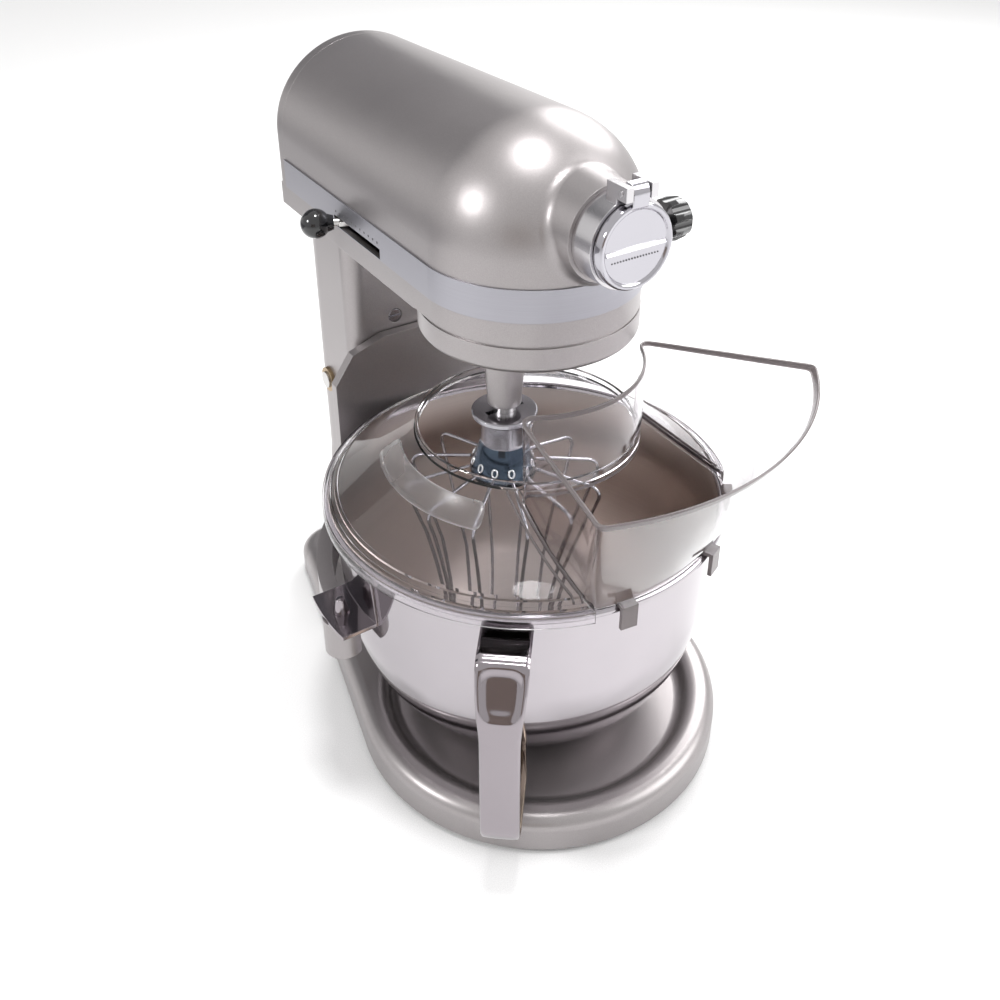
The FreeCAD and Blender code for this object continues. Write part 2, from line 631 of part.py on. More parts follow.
def makeHub():
    sleeve = lathe([(hubBore, 26), (hubRadius, 26), (hubRadius, -14), (13.05, -14), (13.05, -1.5), (hubBore, -1.5)],
                   centre=V(0, -60, 0), axis=Y)
    sleeve.rotate(V(0, -60, 0), Z, 180)
    sleeve.translate(V(0, 0, hubZ))
    ear = box(5.4, 9.6, -93.2, -86, hubZ + 24.6, hubZ + 32).fuse(box(5.4, 9.6, -86, -78, hubZ + 20, hubZ + 32))
    ears = both(ear)
    sleeve = fuse([sleeve] + [e.cut(rod(hubBore, V(0, -100, hubZ), V(0, -40, hubZ))) for e in ears])
    pinY, pinZ = -89.2, hubZ + 28.4
    pinHole = rod(1.52, V(-20, pinY, pinZ), V(20, pinY, pinZ))
    sleeve = sleeve.cut(pinHole).cut(rod(3.04, V(10, -72, hubZ), V(30, -72, hubZ)))
    parts["hub_sleeve"] = sleeve
    parts["hub_hinge_pin"] = rod(1.5, V(-10.4, pinY, pinZ), V(10.4, pinY, pinZ))
    disc = lathe([(0, 0), (22.4, 0), (22.4, 4.2), (21.2, 5.6), (19.2, 5.6), (18.6, 4.4), (0, 4.4)], axis=Y)
    disc.rotate(ORIGIN, Z, 180)
    disc.translate(V(0, hubFace - 0.4, hubZ))
    ridge = box(-15.5, 15.5, hubFace - 6.2, hubFace - 4.0, hubZ - 1.6, hubZ + 1.6)
    lug = box(-5.0, 5.0, pinY - 2.6, pinY + 2.6, hubZ + 18, pinZ).fuse(
        rod(3.2, V(-5.0, pinY, pinZ), V(5.0, pinY, pinZ)))
    cover = fuse([disc, ridge, lug])
    parts["hub_cover"] = cover.cut(rod(1.55, V(-20, pinY, pinZ), V(20, pinY, pinZ)))
    bush = lathe([(9.06, 0), (13.0, 0), (13.0, 12), (9.06, 12)], axis=Y)
    bush.translate(V(0, -58.4, hubZ))
    parts["bronze_bushes"].append(bush)
    shaft = rod(9.0, V(0, -58, hubZ), V(0, -36, hubZ)).fuse(rod(7.0, V(0, -37, hubZ), V(0, -22, hubZ)))
    parts["hub_drive_shaft"] = shaft.cut(box(-5, 5, -60, -44, hubZ - 5, hubZ + 5))
    phase = -math.pi / 2 + math.pi / hubBevelTeeth
    gear = bevelGear(hubBevelTeeth, bevelModule, bevelModule * centreBevelTeeth / 2, phase, 0.9, 1.2, 2.3)
    gear = gear.fuse(Part.makeCylinder(16.0, 4.0, V(0, 0, -36.0)))
    gear.rotate(ORIGIN, X, -90)
    gear.translate(V(0, 0, hubZ))
    parts["hub_bevel_gear"] = gear.cut(rod(7.0, V(0, -60, hubZ), V(0, 0, hubZ)))
    screw = rod(3.0, V(16.9, -72, hubZ), V(44, -72, hubZ))
    parts["hub_screw"] = screw
    knob = lathe([(3.0, 0), (6.5, 0), (6.5, 3), (11.0, 4.5), (11.5, 9), (10.6, 15), (8.5, 16.4), (3.0, 16.4)],
                 centre=V(28.0, -72, hubZ), axis=X)
    flutes = []
    for k in range(8):
        a = 2 * math.pi * k / 8
        centre = V(0, -72 + 13.8 * math.cos(a), hubZ + 13.8 * math.sin(a))
        flutes.append(rod(4.0, centre + V(31, 0, 0), centre + V(60, 0, 0)))
    parts["hub_knob"] = knob.cut(flutes).cut(rod(3.02, V(0, -72, hubZ), V(60, -72, hubZ)))


# ---- gear train ----
def makeGears():
    ring = upright(57.9, 304.5, 309.9)
    teeth = spurGear(ringTeeth, gearModule, 300, 312, slack=-0.35, add=1.9, ded=1.2,
                     phase=orbitAngle)
    parts["ring_gear"] = ring.cut(teeth)
    parts["beater_pinion"] = spurGear(pinionTeeth, gearModule, 304.8, 309.6, beaterX, beaterY, orbitAngle + math.pi,
                                      0.35).cut(upright(6.35, 290, 320, beaterX, beaterY))
    bracket = fuse([upright(59.6, 313.05, 317.5), upright(14.0, 313.05, 317.5, sideX, sideY)])
    bracket = bracket.cut([upright(14.02, 300, 330), upright(9.02, 300, 330, sideX, sideY),
                           upright(16.5, 300, 330, -36, 0), upright(12, 300, 330, 0, -38)])
    parts["shaft_brackets"] = [bracket]
    parts["bronze_bushes"] += [uprightTube(14.0, 8.06, 313.1, 322.5),
                               uprightTube(9.0, 5.05, 313.1, 322.5, sideX, sideY)]
    carrier = fuse([upright(56.0, 297.0, 302.8), upright(10.6, 302.0, 312.8), upright(13.0, 293.0, 297.5),
                    cone(9.8, 12.6, V(beaterX, beaterY, 254.0), V(beaterX, beaterY, 297.5))])
    low = [e for e in carrier.Edges if abs(e.BoundBox.ZMax - 297.0) < 0.01 and e.BoundBox.XLength > 100]
    carrier = carrier.makeFillet(2.0, low)
    carrier = carrier.cut([upright(8.0, 290, 320), upright(6.42, 240, 320, beaterX, beaterY)])
    parts["planet_carrier"] = carrier
    parts["centre_shaft"] = upright(8.0, 294.5, 351.0)
    gear = spurGear(centreTeeth, gearModule, 326.0, 335.0, phase=math.atan2(sideY, sideX))
    gear = gear.cut([upright(7.0, 320, 340, 24 * math.cos(a), 24 * math.sin(a))
                     for a in [2 * math.pi * k / 6 for k in range(6)]])
    parts["centre_gear"] = gear.cut(upright(8.0, 320, 340))
    facing = math.atan2(-sideY, -sideX) + math.pi / sideTeeth
    pinion = spurGear(sideTeeth, gearModule, 326.5, 334.5, sideX, sideY, facing)
    parts["side_pinion"] = pinion.cut(upright(5.0, 320, 340, sideX, sideY))
    bevel = bevelGear(centreBevelTeeth, bevelModule, bevelModule * hubBevelTeeth / 2, -math.pi / 2, 0.9, 1.2, 2.6)
    bevel = bevel.fuse(Part.makeCylinder(27.0, 15.0, V(0, 0, -35.0)))
    bevel.translate(V(0, 0, hubZ))
    parts["centre_bevel_gear"] = bevel.cut(upright(8.0, 330, 370)).cut(upright(15.0, hubZ - 15.5, hubZ))
    parts["side_shaft"] = upright(4.98, 313.3, 384.0, sideX, sideY)
    wheel = spurGear(wheelTeeth, wormModule, motorZ - 3.5, motorZ + 3.5, sideX, sideY, math.pi, 0.9, add=1.4)
    hubs = [upright(9.0, z, z + 4.5, sideX, sideY) for z in (motorZ - 8, motorZ + 3.5)]
    parts["worm_wheel"] = fuse([wheel.cut(upright(4.98, 340, 390, sideX, sideY))] +
                               [h.cut(upright(4.98, 340, 390, sideX, sideY)) for h in hubs])


def makeMotor():
    def along(radius, y0, y1, inner=0.0):
        a, b = V(0, y0, motorZ), V(0, y1, motorZ)
        return tube(radius, inner, a, b) if inner else rod(radius, a, b)

    parts["armature_shaft"] = along(4.0, 30.0, 191.0)
    pitch = math.pi * wormModule
    start, turns = 38.0, 6
    helix = Part.makeHelix(pitch, pitch * turns, wormRadius - 2.0)
    low, high = wormRadius - 2.1, wormRadius + 1.5
    section = Part.makePolygon([V(low, 0, -1.5), V(high, 0, -0.55), V(high, 0, 0.55), V(low, 0, 1.5), V(low, 0, -1.5)])
    thread = Part.Wire(helix).makePipeShell([section], True, True)
    thread.rotate(ORIGIN, X, -90)
    # a crest faces the wheel's gap at the wheel's own height
    toWheel = (sideY + pitch / 2 - start) / pitch
    thread.rotate(ORIGIN, Y, -360 * (toWheel - math.floor(toWheel)))
    thread.translate(V(0, start, motorZ))
    core = along(wormRadius - 2.0, start - 3, start + pitch * turns + 3, 4.0)
    parts["worm"] = fuse([core, thread]).cut(along(4.0, 20, 100))
    slots = [rod(2.2, V(20.5 * math.cos(a), 100, motorZ + 20.5 * math.sin(a)),
                 V(20.5 * math.cos(a), 160, motorZ + 20.5 * math.sin(a)))
             for a in [2 * math.pi * k / 12 for k in range(12)]]
    parts["armature_core"] = [along(22.0, 106, 150, 4.0).cut(slots), along(10.0, 156, 168, 4.0)]
    fan = [Part.makeCylinder(28.0, 1.6, V(0, 171.5, 0), Y), Part.makeCylinder(8.0, 8.0, V(0, 171.5, 0), Y)]
    for k in range(10):
        blade = box(7.5, 27, 173, 179, -0.8, 0.8)
        blade.rotate(ORIGIN, Y, 36 * k)
        fan.append(blade)
    fan = fuse(fan)
    fan.translate(V(0, 0, motorZ))
    parts["motor_fan"] = fan.cut(along(4.0, 160, 190))

    stator = along(35.0, 105, 151, 22.6)
    stator = stator.cut([box(-8, 8, 100, 160, motorZ - 36, motorZ - 32), box(-8, 8, 100, 160, motorZ + 32, motorZ + 36)])
    parts["motor_stator"] = stator
    front = fuse([rod(36.0, V(0, 95, motorZ), V(0, 98.5, motorZ)), box(22, 40, 95, 98.5, trayBottom + 3.1, motorZ)])
    rear = fuse([rod(33.0, V(0, 182.5, motorZ), V(0, 186, motorZ)), box(-40, -22, 182.5, 186, trayBottom + 3.1, motorZ),
                 box(22, 40, 182.5, 186, trayBottom + 3.1, motorZ)])
    vents = [rod(6.0, V(22 * math.cos(a), 90, motorZ + 22 * math.sin(a)), V(22 * math.cos(a), 190, motorZ + 22 * math.sin(a)))
             for a in [2 * math.pi * k / 6 for k in range(6)]]
    bore = along(9.0, 90, 190)
    parts["shaft_brackets"] += [front.cut(vents).cut(bore), rear.cut(vents).cut(bore)]
    parts["motor_bearings"] = group([along(8.97, 94.5, 99.5, 4.05), along(8.97, 182, 187, 4.05)])
    brush = box(10.3, 30, 158, 166, motorZ - 4, motorZ + 4)
    parts["brush_holders"] = group(both(brush))
    post = upright(4.0, 324, 334, 0, leverY)
    block = box(-15, 15, 72, 94, trayBottom + 3.1, 324.5)
    parts["speed_control"] = fuse([block, post])


def makeLever():
    arm = box(-68, 0, -4, 4, leverZ - 1.5, leverZ + 1.5).fuse(upright(8.0, leverZ - 1.5, leverZ + 1.5))
    neck = rod(2.6, V(-76, 0, leverZ), V(-62, 0, leverZ))
    lever = fuse([arm, neck.cut(box(-68, 0, -4, 4, leverZ - 1.5, leverZ + 1.5))])
    lever = lever.cut(upright(4.05, 300, 340))
    knob = fuse([Part.makeSphere(9.2, V(-82, 0, leverZ)), cone(4.4, 6.4, V(-71.0, 0, leverZ), V(-77, 0, leverZ))])
    knob = knob.cut(rod(2.6, V(-76, 0, leverZ), V(-60, 0, leverZ)))
    for name, shape in (("speed_lever", lever), ("speed_knob", knob)):
        shape.rotate(ORIGIN, Z, -leverSwing)
        shape.translate(V(0, leverY, 0))
        parts[name] = shape


# ---- beater ----
def makeBeater():
    x, y = beaterX, beaterY
    shaft = upright(6.35, 221.0, 312.5, x, y)
    pinZ = 233.0
    hole = rod(1.6, V(x - 20, y, pinZ), V(x + 20, y, pinZ))
    parts["beater_shaft"] = shaft.cut(hole)
    parts["shaft_cross_pin"] = rod(1.59, V(x - 11, y, pinZ), V(x + 11, y, pinZ))
    hub = lathe([(6.4, 249), (18.6, 249), (19.2, 248), (19.2, 245.4), (14, 244.4), (13.6, 227), (20.4, 219), (20.6, 207),
                 (18.0, 205.4), (0, 205.4), (0, 219), (6.4, 219)])
    hub.translate(V(x, y, 0))
    slot = box(-12.4, 12.4, -1.9, 1.9, pinZ - 1.9, 260)
    slot.translate(V(x, y, 0))
    parts["whisk_hub"] = hub.cut(slot)
    wires = []
    for k in range(6):
        low = 76.0 + 2.5 * k
        path = roundedPath([V(21.0, 0, 212), V(60.5, 0, 203.5), V(22, 0, low), V(-22, 0, low), V(-60.5, 0, 203.5),
                            V(-21.0, 0, 212)], [8, 17, 17, 8])
        wire = sweepRound(path, 1.05)
        wire.rotate(ORIGIN, Z, 30 * k + 10)
        wire.translate(V(x, y, 0))
        wires.append(wire)
    parts["whisk_wires"] = group(wires)


def main():
    makeBase()
    makeColumn()
    makeLift()
    makeYoke()
    makeBowl()
    makeShield()
    makeHousings()
    makeHub()
    makeGears()
    makeMotor()
    makeLever()
    makeBeater()
    os.makedirs("parts", exist_ok=True)
    for name, shape in parts.items():
        shape = group(shape) if isinstance(shape, list) else shape
        moved = shape.translated(frameShift)
        moved.exportStep("parts/" + name + ".step")
        state = "" if shape.isValid() else "  NOT VALID"
        print(f"{name:20s} {len(shape.Solids):3d} solids {shape.Volume:12.1f} mm3{state}")


main()
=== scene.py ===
import json
import math

import bmesh
import bpy
from mathutils import Matrix, Vector

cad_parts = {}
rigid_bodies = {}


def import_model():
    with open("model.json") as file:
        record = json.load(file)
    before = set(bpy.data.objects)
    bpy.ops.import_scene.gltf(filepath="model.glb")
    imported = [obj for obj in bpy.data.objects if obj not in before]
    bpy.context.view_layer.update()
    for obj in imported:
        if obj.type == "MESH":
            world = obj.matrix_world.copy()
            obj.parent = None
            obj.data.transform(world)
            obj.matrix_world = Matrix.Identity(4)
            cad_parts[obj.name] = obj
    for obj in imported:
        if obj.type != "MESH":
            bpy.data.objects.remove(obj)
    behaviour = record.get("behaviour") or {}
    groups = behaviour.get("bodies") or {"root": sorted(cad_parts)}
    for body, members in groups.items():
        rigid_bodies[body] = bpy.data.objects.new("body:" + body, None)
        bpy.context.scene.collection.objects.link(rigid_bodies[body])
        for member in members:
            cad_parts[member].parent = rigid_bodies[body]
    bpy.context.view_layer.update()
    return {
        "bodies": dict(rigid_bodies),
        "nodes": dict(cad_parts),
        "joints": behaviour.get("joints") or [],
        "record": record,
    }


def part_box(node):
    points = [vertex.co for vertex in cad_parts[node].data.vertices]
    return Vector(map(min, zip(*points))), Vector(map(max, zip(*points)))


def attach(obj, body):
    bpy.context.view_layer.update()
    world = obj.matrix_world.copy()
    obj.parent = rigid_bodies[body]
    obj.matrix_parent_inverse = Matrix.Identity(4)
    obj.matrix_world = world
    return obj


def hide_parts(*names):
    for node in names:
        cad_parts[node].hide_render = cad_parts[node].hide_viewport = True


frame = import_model()
nodes = frame["nodes"]
mm = 0.001
print("frame loaded:", len(nodes), "nodes")

# the bowl's upright axis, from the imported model
bowlLow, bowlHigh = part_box("bowl")
bowlX, bowlY = (bowlLow.x + bowlHigh.x) / 2, (bowlLow.y + bowlHigh.y) / 2


# ---- shader groups ----
def shaderGroup(name, inputs, outputs):
    group = bpy.data.node_groups.new(name, "ShaderNodeTree")
    for socketName, value in inputs.items():
        kind = "NodeSocketVector" if isinstance(value, tuple) else "NodeSocketFloat"
        group.interface.new_socket(socketName, in_out="INPUT", socket_type=kind).default_value = value
    for socketName, kind in outputs.items():
        group.interface.new_socket(socketName, in_out="OUTPUT", socket_type=kind)
    return group, group.nodes.new("NodeGroupInput"), group.nodes.new("NodeGroupOutput")


def math2(tree, operation, a, b):
    node = tree.nodes.new("ShaderNodeMath")
    node.operation = operation
    for socket, value in zip(node.inputs, (a, b)):
        if isinstance(value, bpy.types.NodeSocket):
            tree.links.new(value, socket)
        else:
            socket.default_value = value
    return node.outputs[0]


def objectPoint(tree):
    return tree.nodes.new("ShaderNodeTexCoord").outputs["Object"]


def makeGrain():
    # fine speckle, and broad soft clouds
    group, inside, out = shaderGroup("fineGrain", {"Grain": 1800.0, "Cloud": 14.0},
                                     {"Fine": "NodeSocketFloat", "Broad": "NodeSocketFloat"})
    point = objectPoint(group)
    for source, target, detail in (("Grain", "Fine", 1.0), ("Cloud", "Broad", 4.0)):
        noise = group.nodes.new("ShaderNodeTexNoise")
        noise.inputs["Detail"].default_value = detail
        group.links.new(point, noise.inputs["Vector"])
        group.links.new(inside.outputs[source], noise.inputs["Scale"])
        group.links.new(noise.outputs["Fac"], out.inputs[target])
    return group


def makeBrushing():
    # fine lines: the noise is squeezed by a different amount along each axis
    group, inside, out = shaderGroup("brushing", {"Squeeze": (30.0, 30.0, 4000.0)},
                                     {"Lines": "NodeSocketFloat"})
    point = objectPoint(group)
    product = group.nodes.new("ShaderNodeVectorMath")
    product.operation = "MULTIPLY"
    group.links.new(point, product.inputs[0])
    group.links.new(inside.outputs["Squeeze"], product.inputs[1])
    noise = group.nodes.new("ShaderNodeTexNoise")
    noise.inputs["Scale"].default_value = 1.0
    noise.inputs["Detail"].default_value = 3.0
    group.links.new(product.outputs[0], noise.inputs["Vector"])
    group.links.new(noise.outputs["Fac"], out.inputs["Lines"])
    return group


def makeTurning():
    # rings round an upright axis, as a lathe or a spinning tool leaves them
    group, inside, out = shaderGroup("turning", {"Centre": (0.0, 0.0, 0.0), "Fineness": 2500.0},
                                     {"Rings": "NodeSocketFloat"})
    point = objectPoint(group)
    away = group.nodes.new("ShaderNodeVectorMath")
    away.operation = "SUBTRACT"
    group.links.new(point, away.inputs[0])
    group.links.new(inside.outputs["Centre"], away.inputs[1])
    parts = group.nodes.new("ShaderNodeSeparateXYZ")
    group.links.new(away.outputs[0], parts.inputs[0])
    flat = math2(group, "ADD", math2(group, "MULTIPLY", parts.outputs[0], parts.outputs[0]),
                 math2(group, "MULTIPLY", parts.outputs[1], parts.outputs[1]))
    radius = math2(group, "SQRT", flat, 0.0)
    along = math2(group, "ADD", parts.outputs[2], radius)
    angle = math2(group, "ARCTAN2", parts.outputs[1], parts.outputs[0])
    joined = group.nodes.new("ShaderNodeCombineXYZ")
    group.links.new(math2(group, "MULTIPLY", along, inside.outputs["Fineness"]), joined.inputs[0])
    group.links.new(math2(group, "MULTIPLY", angle, 1.2), joined.inputs[1])
    noise = group.nodes.new("ShaderNodeTexNoise")
    noise.inputs["Scale"].default_value = 1.0
    noise.inputs["Detail"].default_value = 3.0
    group.links.new(joined.outputs[0], noise.inputs["Vector"])
    group.links.new(noise.outputs["Fac"], out.inputs["Rings"])
    return group


def makeEdges():
    # a mask of sharp edges, which the paint and machined finishes use to paint lighter edge highlights, and a
    # normal that rounds them
    group, inside, out = shaderGroup("softEdges", {"Width": 0.0006},
                                     {"Edge": "NodeSocketFloat", "Normal": "NodeSocketVector"})
    bevel = group.nodes.new("ShaderNodeBevel")
    bevel.samples = 4
    group.links.new(inside.outputs["Width"], bevel.inputs["Radius"])
    true = group.nodes.new("ShaderNodeNewGeometry")
    dot = group.nodes.new("ShaderNodeVectorMath")
    dot.operation = "DOT_PRODUCT"
    group.links.new(bevel.outputs[0], dot.inputs[0])
    group.links.new(true.outputs["Normal"], dot.inputs[1])
    turned = math2(group, "SUBTRACT", 1.0, dot.outputs["Value"])
    strong = math2(group, "MULTIPLY", turned, 6.0)
    clamp = group.nodes.new("ShaderNodeClamp")
    group.links.new(strong, clamp.inputs[0])
    group.links.new(clamp.outputs[0], out.inputs["Edge"])
    group.links.new(bevel.outputs[0], out.inputs["Normal"])
    return group


fineGrain, brushing, turning, softEdges = makeGrain(), makeBrushing(), makeTurning(), makeEdges()


# ---- materials ----
class Finish:
    # one material: its Principled shader and the few nodes in front of it
    def __init__(self, name, colour, metallic, roughness, **sockets):
        self.material = bpy.data.materials.new(name)
        self.material.use_nodes = True
        self.tree = self.material.node_tree
        self.shader = self.tree.nodes["Principled BSDF"]
        self.colour, self.roughness = colour, roughness
        self.shader.inputs["Base Color"].default_value = (*colour, 1.0)
        self.shader.inputs["Metallic"].default_value = metallic
        self.shader.inputs["Roughness"].default_value = roughness
        for socketName, value in sockets.items():
            self.shader.inputs[socketName.replace("_", " ")].default_value = value

    def group(self, tree, **inputs):
        node = self.tree.nodes.new("ShaderNodeGroup")
        node.node_tree = tree
        for socketName, value in inputs.items():
            node.inputs[socketName].default_value = value
        return node

    def tint(self, mask, low, high):
        # the colour runs between two multiples of the base colour as the mask goes from 0 to 1
        ramp = self.tree.nodes.new("ShaderNodeMix")
        ramp.data_type = "RGBA"
        colours = [(*[min(1.0, c * k) for c in self.colour], 1.0) for k in (low, high)]
        ramp.inputs[6].default_value, ramp.inputs[7].default_value = colours
        self.tree.links.new(mask, ramp.inputs[0])
        return ramp.outputs[2]

    def blendColours(self, mask, a, b):
        mix = self.tree.nodes.new("ShaderNodeMix")
        mix.data_type = "RGBA"
        self.tree.links.new(mask, mix.inputs[0])
        for value, socket in ((a, mix.inputs[6]), (b, mix.inputs[7])):
            if isinstance(value, bpy.types.NodeSocket):
                self.tree.links.new(value, socket)
            else:
                socket.default_value = (*value, 1.0)
        return mix.outputs[2]

    def span(self, mask, low, high):
        node = self.tree.nodes.new("ShaderNodeMapRange")
        node.inputs["From Min"].default_value, node.inputs["From Max"].default_value = 0.3, 0.7
        node.inputs["To Min"].default_value, node.inputs["To Max"].default_value = low, high
        self.tree.links.new(mask, node.inputs["Value"])
        return node.outputs[0]

    def setColour(self, socket):
        self.tree.links.new(socket, self.shader.inputs["Base Color"])

    def setRoughness(self, socket):
        self.tree.links.new(socket, self.shader.inputs["Roughness"])

    def setBump(self, height, distance, strength=1.0, normal=None):
        bump = self.tree.nodes.new("ShaderNodeBump")
        bump.inputs["Distance"].default_value = distance
        bump.inputs["Strength"].default_value = strength
        self.tree.links.new(height, bump.inputs["Height"])
        if normal is not None:
            self.tree.links.new(normal, bump.inputs["Normal"])
        self.tree.links.new(bump.outputs[0], self.shader.inputs["Normal"])


def paintFinish(name, colour, roughness=0.36, edge=0.0005):
    paint = Finish(name, colour, 0.86, roughness, Coat_Weight=0.12, Coat_Roughness=0.3)
    grain = paint.group(fineGrain, Grain=2600.0, Cloud=9.0)
    edges = paint.group(softEdges, Width=edge)
    flake = paint.tint(grain.outputs["Fine"], 0.80, 1.2)
    # the sharp edges are painted lighter than the paint: a painted edge highlight
    edgeHighlight = paint.blendColours(edges.outputs["Edge"], flake, tuple(min(1, c * 1.25) for c in colour))
    paint.setColour(edgeHighlight)
    paint.setRoughness(paint.span(grain.outputs["Broad"], roughness - 0.03, roughness + 0.04))
    paint.setBump(grain.outputs["Fine"], 0.00004, 0.5, edges.outputs["Normal"])
    return paint.material


def mirrorFinish(name, colour, roughness, smudge=0.05, edge=0.0005):
    metal = Finish(name, colour, 1.0, roughness)
    grain = metal.group(fineGrain, Grain=900.0, Cloud=22.0)
    edges = metal.group(softEdges, Width=edge)
    metal.setColour(metal.tint(grain.outputs["Broad"], 0.93, 1.04))
    metal.setRoughness(metal.span(grain.outputs["Broad"], roughness, roughness + smudge))
    metal.setBump(grain.outputs["Broad"], 0.00015, 0.25, edges.outputs["Normal"])
    return metal.material


def machinedFinish(name, colour, roughness, squeeze=(2500.0, 2500.0, 40.0)):
    metal = Finish(name, colour, 1.0, roughness)
    lines = metal.group(brushing, Squeeze=squeeze)
    grain = metal.group(fineGrain, Grain=700.0, Cloud=30.0)
    edges = metal.group(softEdges, Width=0.0004)
    # sharp edges are painted lighter by 1.35: a painted edge highlight
    metal.setColour(metal.blendColours(edges.outputs["Edge"], metal.tint(grain.outputs["Broad"], 0.82, 1.12),
                                       tuple(min(1, c * 1.35) for c in colour)))
    metal.setRoughness(metal.span(lines.outputs["Lines"], roughness - 0.08, roughness + 0.1))
    metal.setBump(lines.outputs["Lines"], 0.00006, 0.5, edges.outputs["Normal"])
    return metal.material


def brushedBandFinish():
    band = Finish("brushedBand", (0.37, 0.365, 0.40), 0.9, 0.34)
    lines = band.group(brushing, Squeeze=(25.0, 25.0, 5200.0))
    edges = band.group(softEdges, Width=0.0003)
    band.setColour(band.tint(lines.outputs["Lines"], 0.86, 1.12))
    band.setRoughness(band.span(lines.outputs["Lines"], 0.28, 0.42))
    band.setBump(lines.outputs["Lines"], 0.00003, 0.5, edges.outputs["Normal"])
    return band.material


def spunFinish(name, colour, roughness, depth, anisotropic):
    steel = Finish(name, colour, 1.0, roughness, Anisotropic=anisotropic)
    rings = steel.group(turning, Centre=(bowlX, bowlY, 0.0), Fineness=2200.0)
    grain = steel.group(fineGrain, Grain=900.0, Cloud=18.0)
    steel.setColour(steel.tint(rings.outputs["Rings"], 0.88, 1.1))
    steel.setRoughness(steel.span(grain.outputs["Broad"], roughness - 0.03, roughness + 0.05))
    steel.setBump(rings.outputs["Rings"], depth, 0.6)
    tangent = steel.tree.nodes.new("ShaderNodeTangent")
    tangent.direction_type, tangent.axis = "RADIAL", "Z"
    steel.tree.links.new(tangent.outputs[0], steel.shader.inputs["Tangent"])
    return steel.material


def clearFinish(name, colour, roughness):
    plastic = Finish(name, colour, 0.0, roughness, IOR=1.46, Transmission_Weight=1.0)
    grain = plastic.group(fineGrain, Grain=500.0, Cloud=35.0)
    plastic.setRoughness(plastic.span(grain.outputs["Broad"], roughness, roughness + 0.03))
    plastic.setColour(plastic.tint(grain.outputs["Broad"], 0.985, 1.01))
    plastic.setBump(grain.outputs["Broad"], 0.0002, 0.2)
    return plastic.material


def edgeFinish(name, colour, roughness):
    # the cut edge of clear plastic, painted dark grey-brown: painted shade standing in for the dark line
    # refraction draws along the edge
    edge = Finish(name, colour, 0.0, roughness, IOR=1.46, Transmission_Weight=0.35)
    grain = edge.group(fineGrain, Grain=500.0, Cloud=45.0)
    edge.setColour(edge.tint(grain.outputs["Broad"], 0.75, 1.25))
    edge.setRoughness(edge.span(grain.outputs["Broad"], roughness, roughness + 0.05))
    return edge.material


def glossFinish(name, colour, roughness):
    plastic = Finish(name, colour, 0.0, roughness, Coat_Weight=0.6, Coat_Roughness=0.03)
    grain = plastic.group(fineGrain, Grain=1200.0, Cloud=40.0)
    edges = plastic.group(softEdges, Width=0.0005)
    plastic.setColour(plastic.tint(grain.outputs["Broad"], 0.7, 1.5))
    plastic.setRoughness(plastic.span(grain.outputs["Broad"], roughness, roughness + 0.06))
    plastic.setBump(grain.outputs["Fine"], 0.00002, 0.3, edges.outputs["Normal"])
    return plastic.material


def matteFinish(name, colour, roughness, depth=0.0001):
    plain = Finish(name, colour, 0.0, roughness)
    grain = plain.group(fineGrain, Grain=1500.0, Cloud=30.0)
    edges = plain.group(softEdges, Width=0.0005)
    plain.setColour(plain.tint(grain.outputs["Fine"], 0.75, 1.3))
    plain.setRoughness(plain.span(grain.outputs["Broad"], roughness - 0.05, roughness + 0.08))
    plain.setBump(grain.outputs["Fine"], depth, 0.6, edges.outputs["Normal"])
    return plain.material


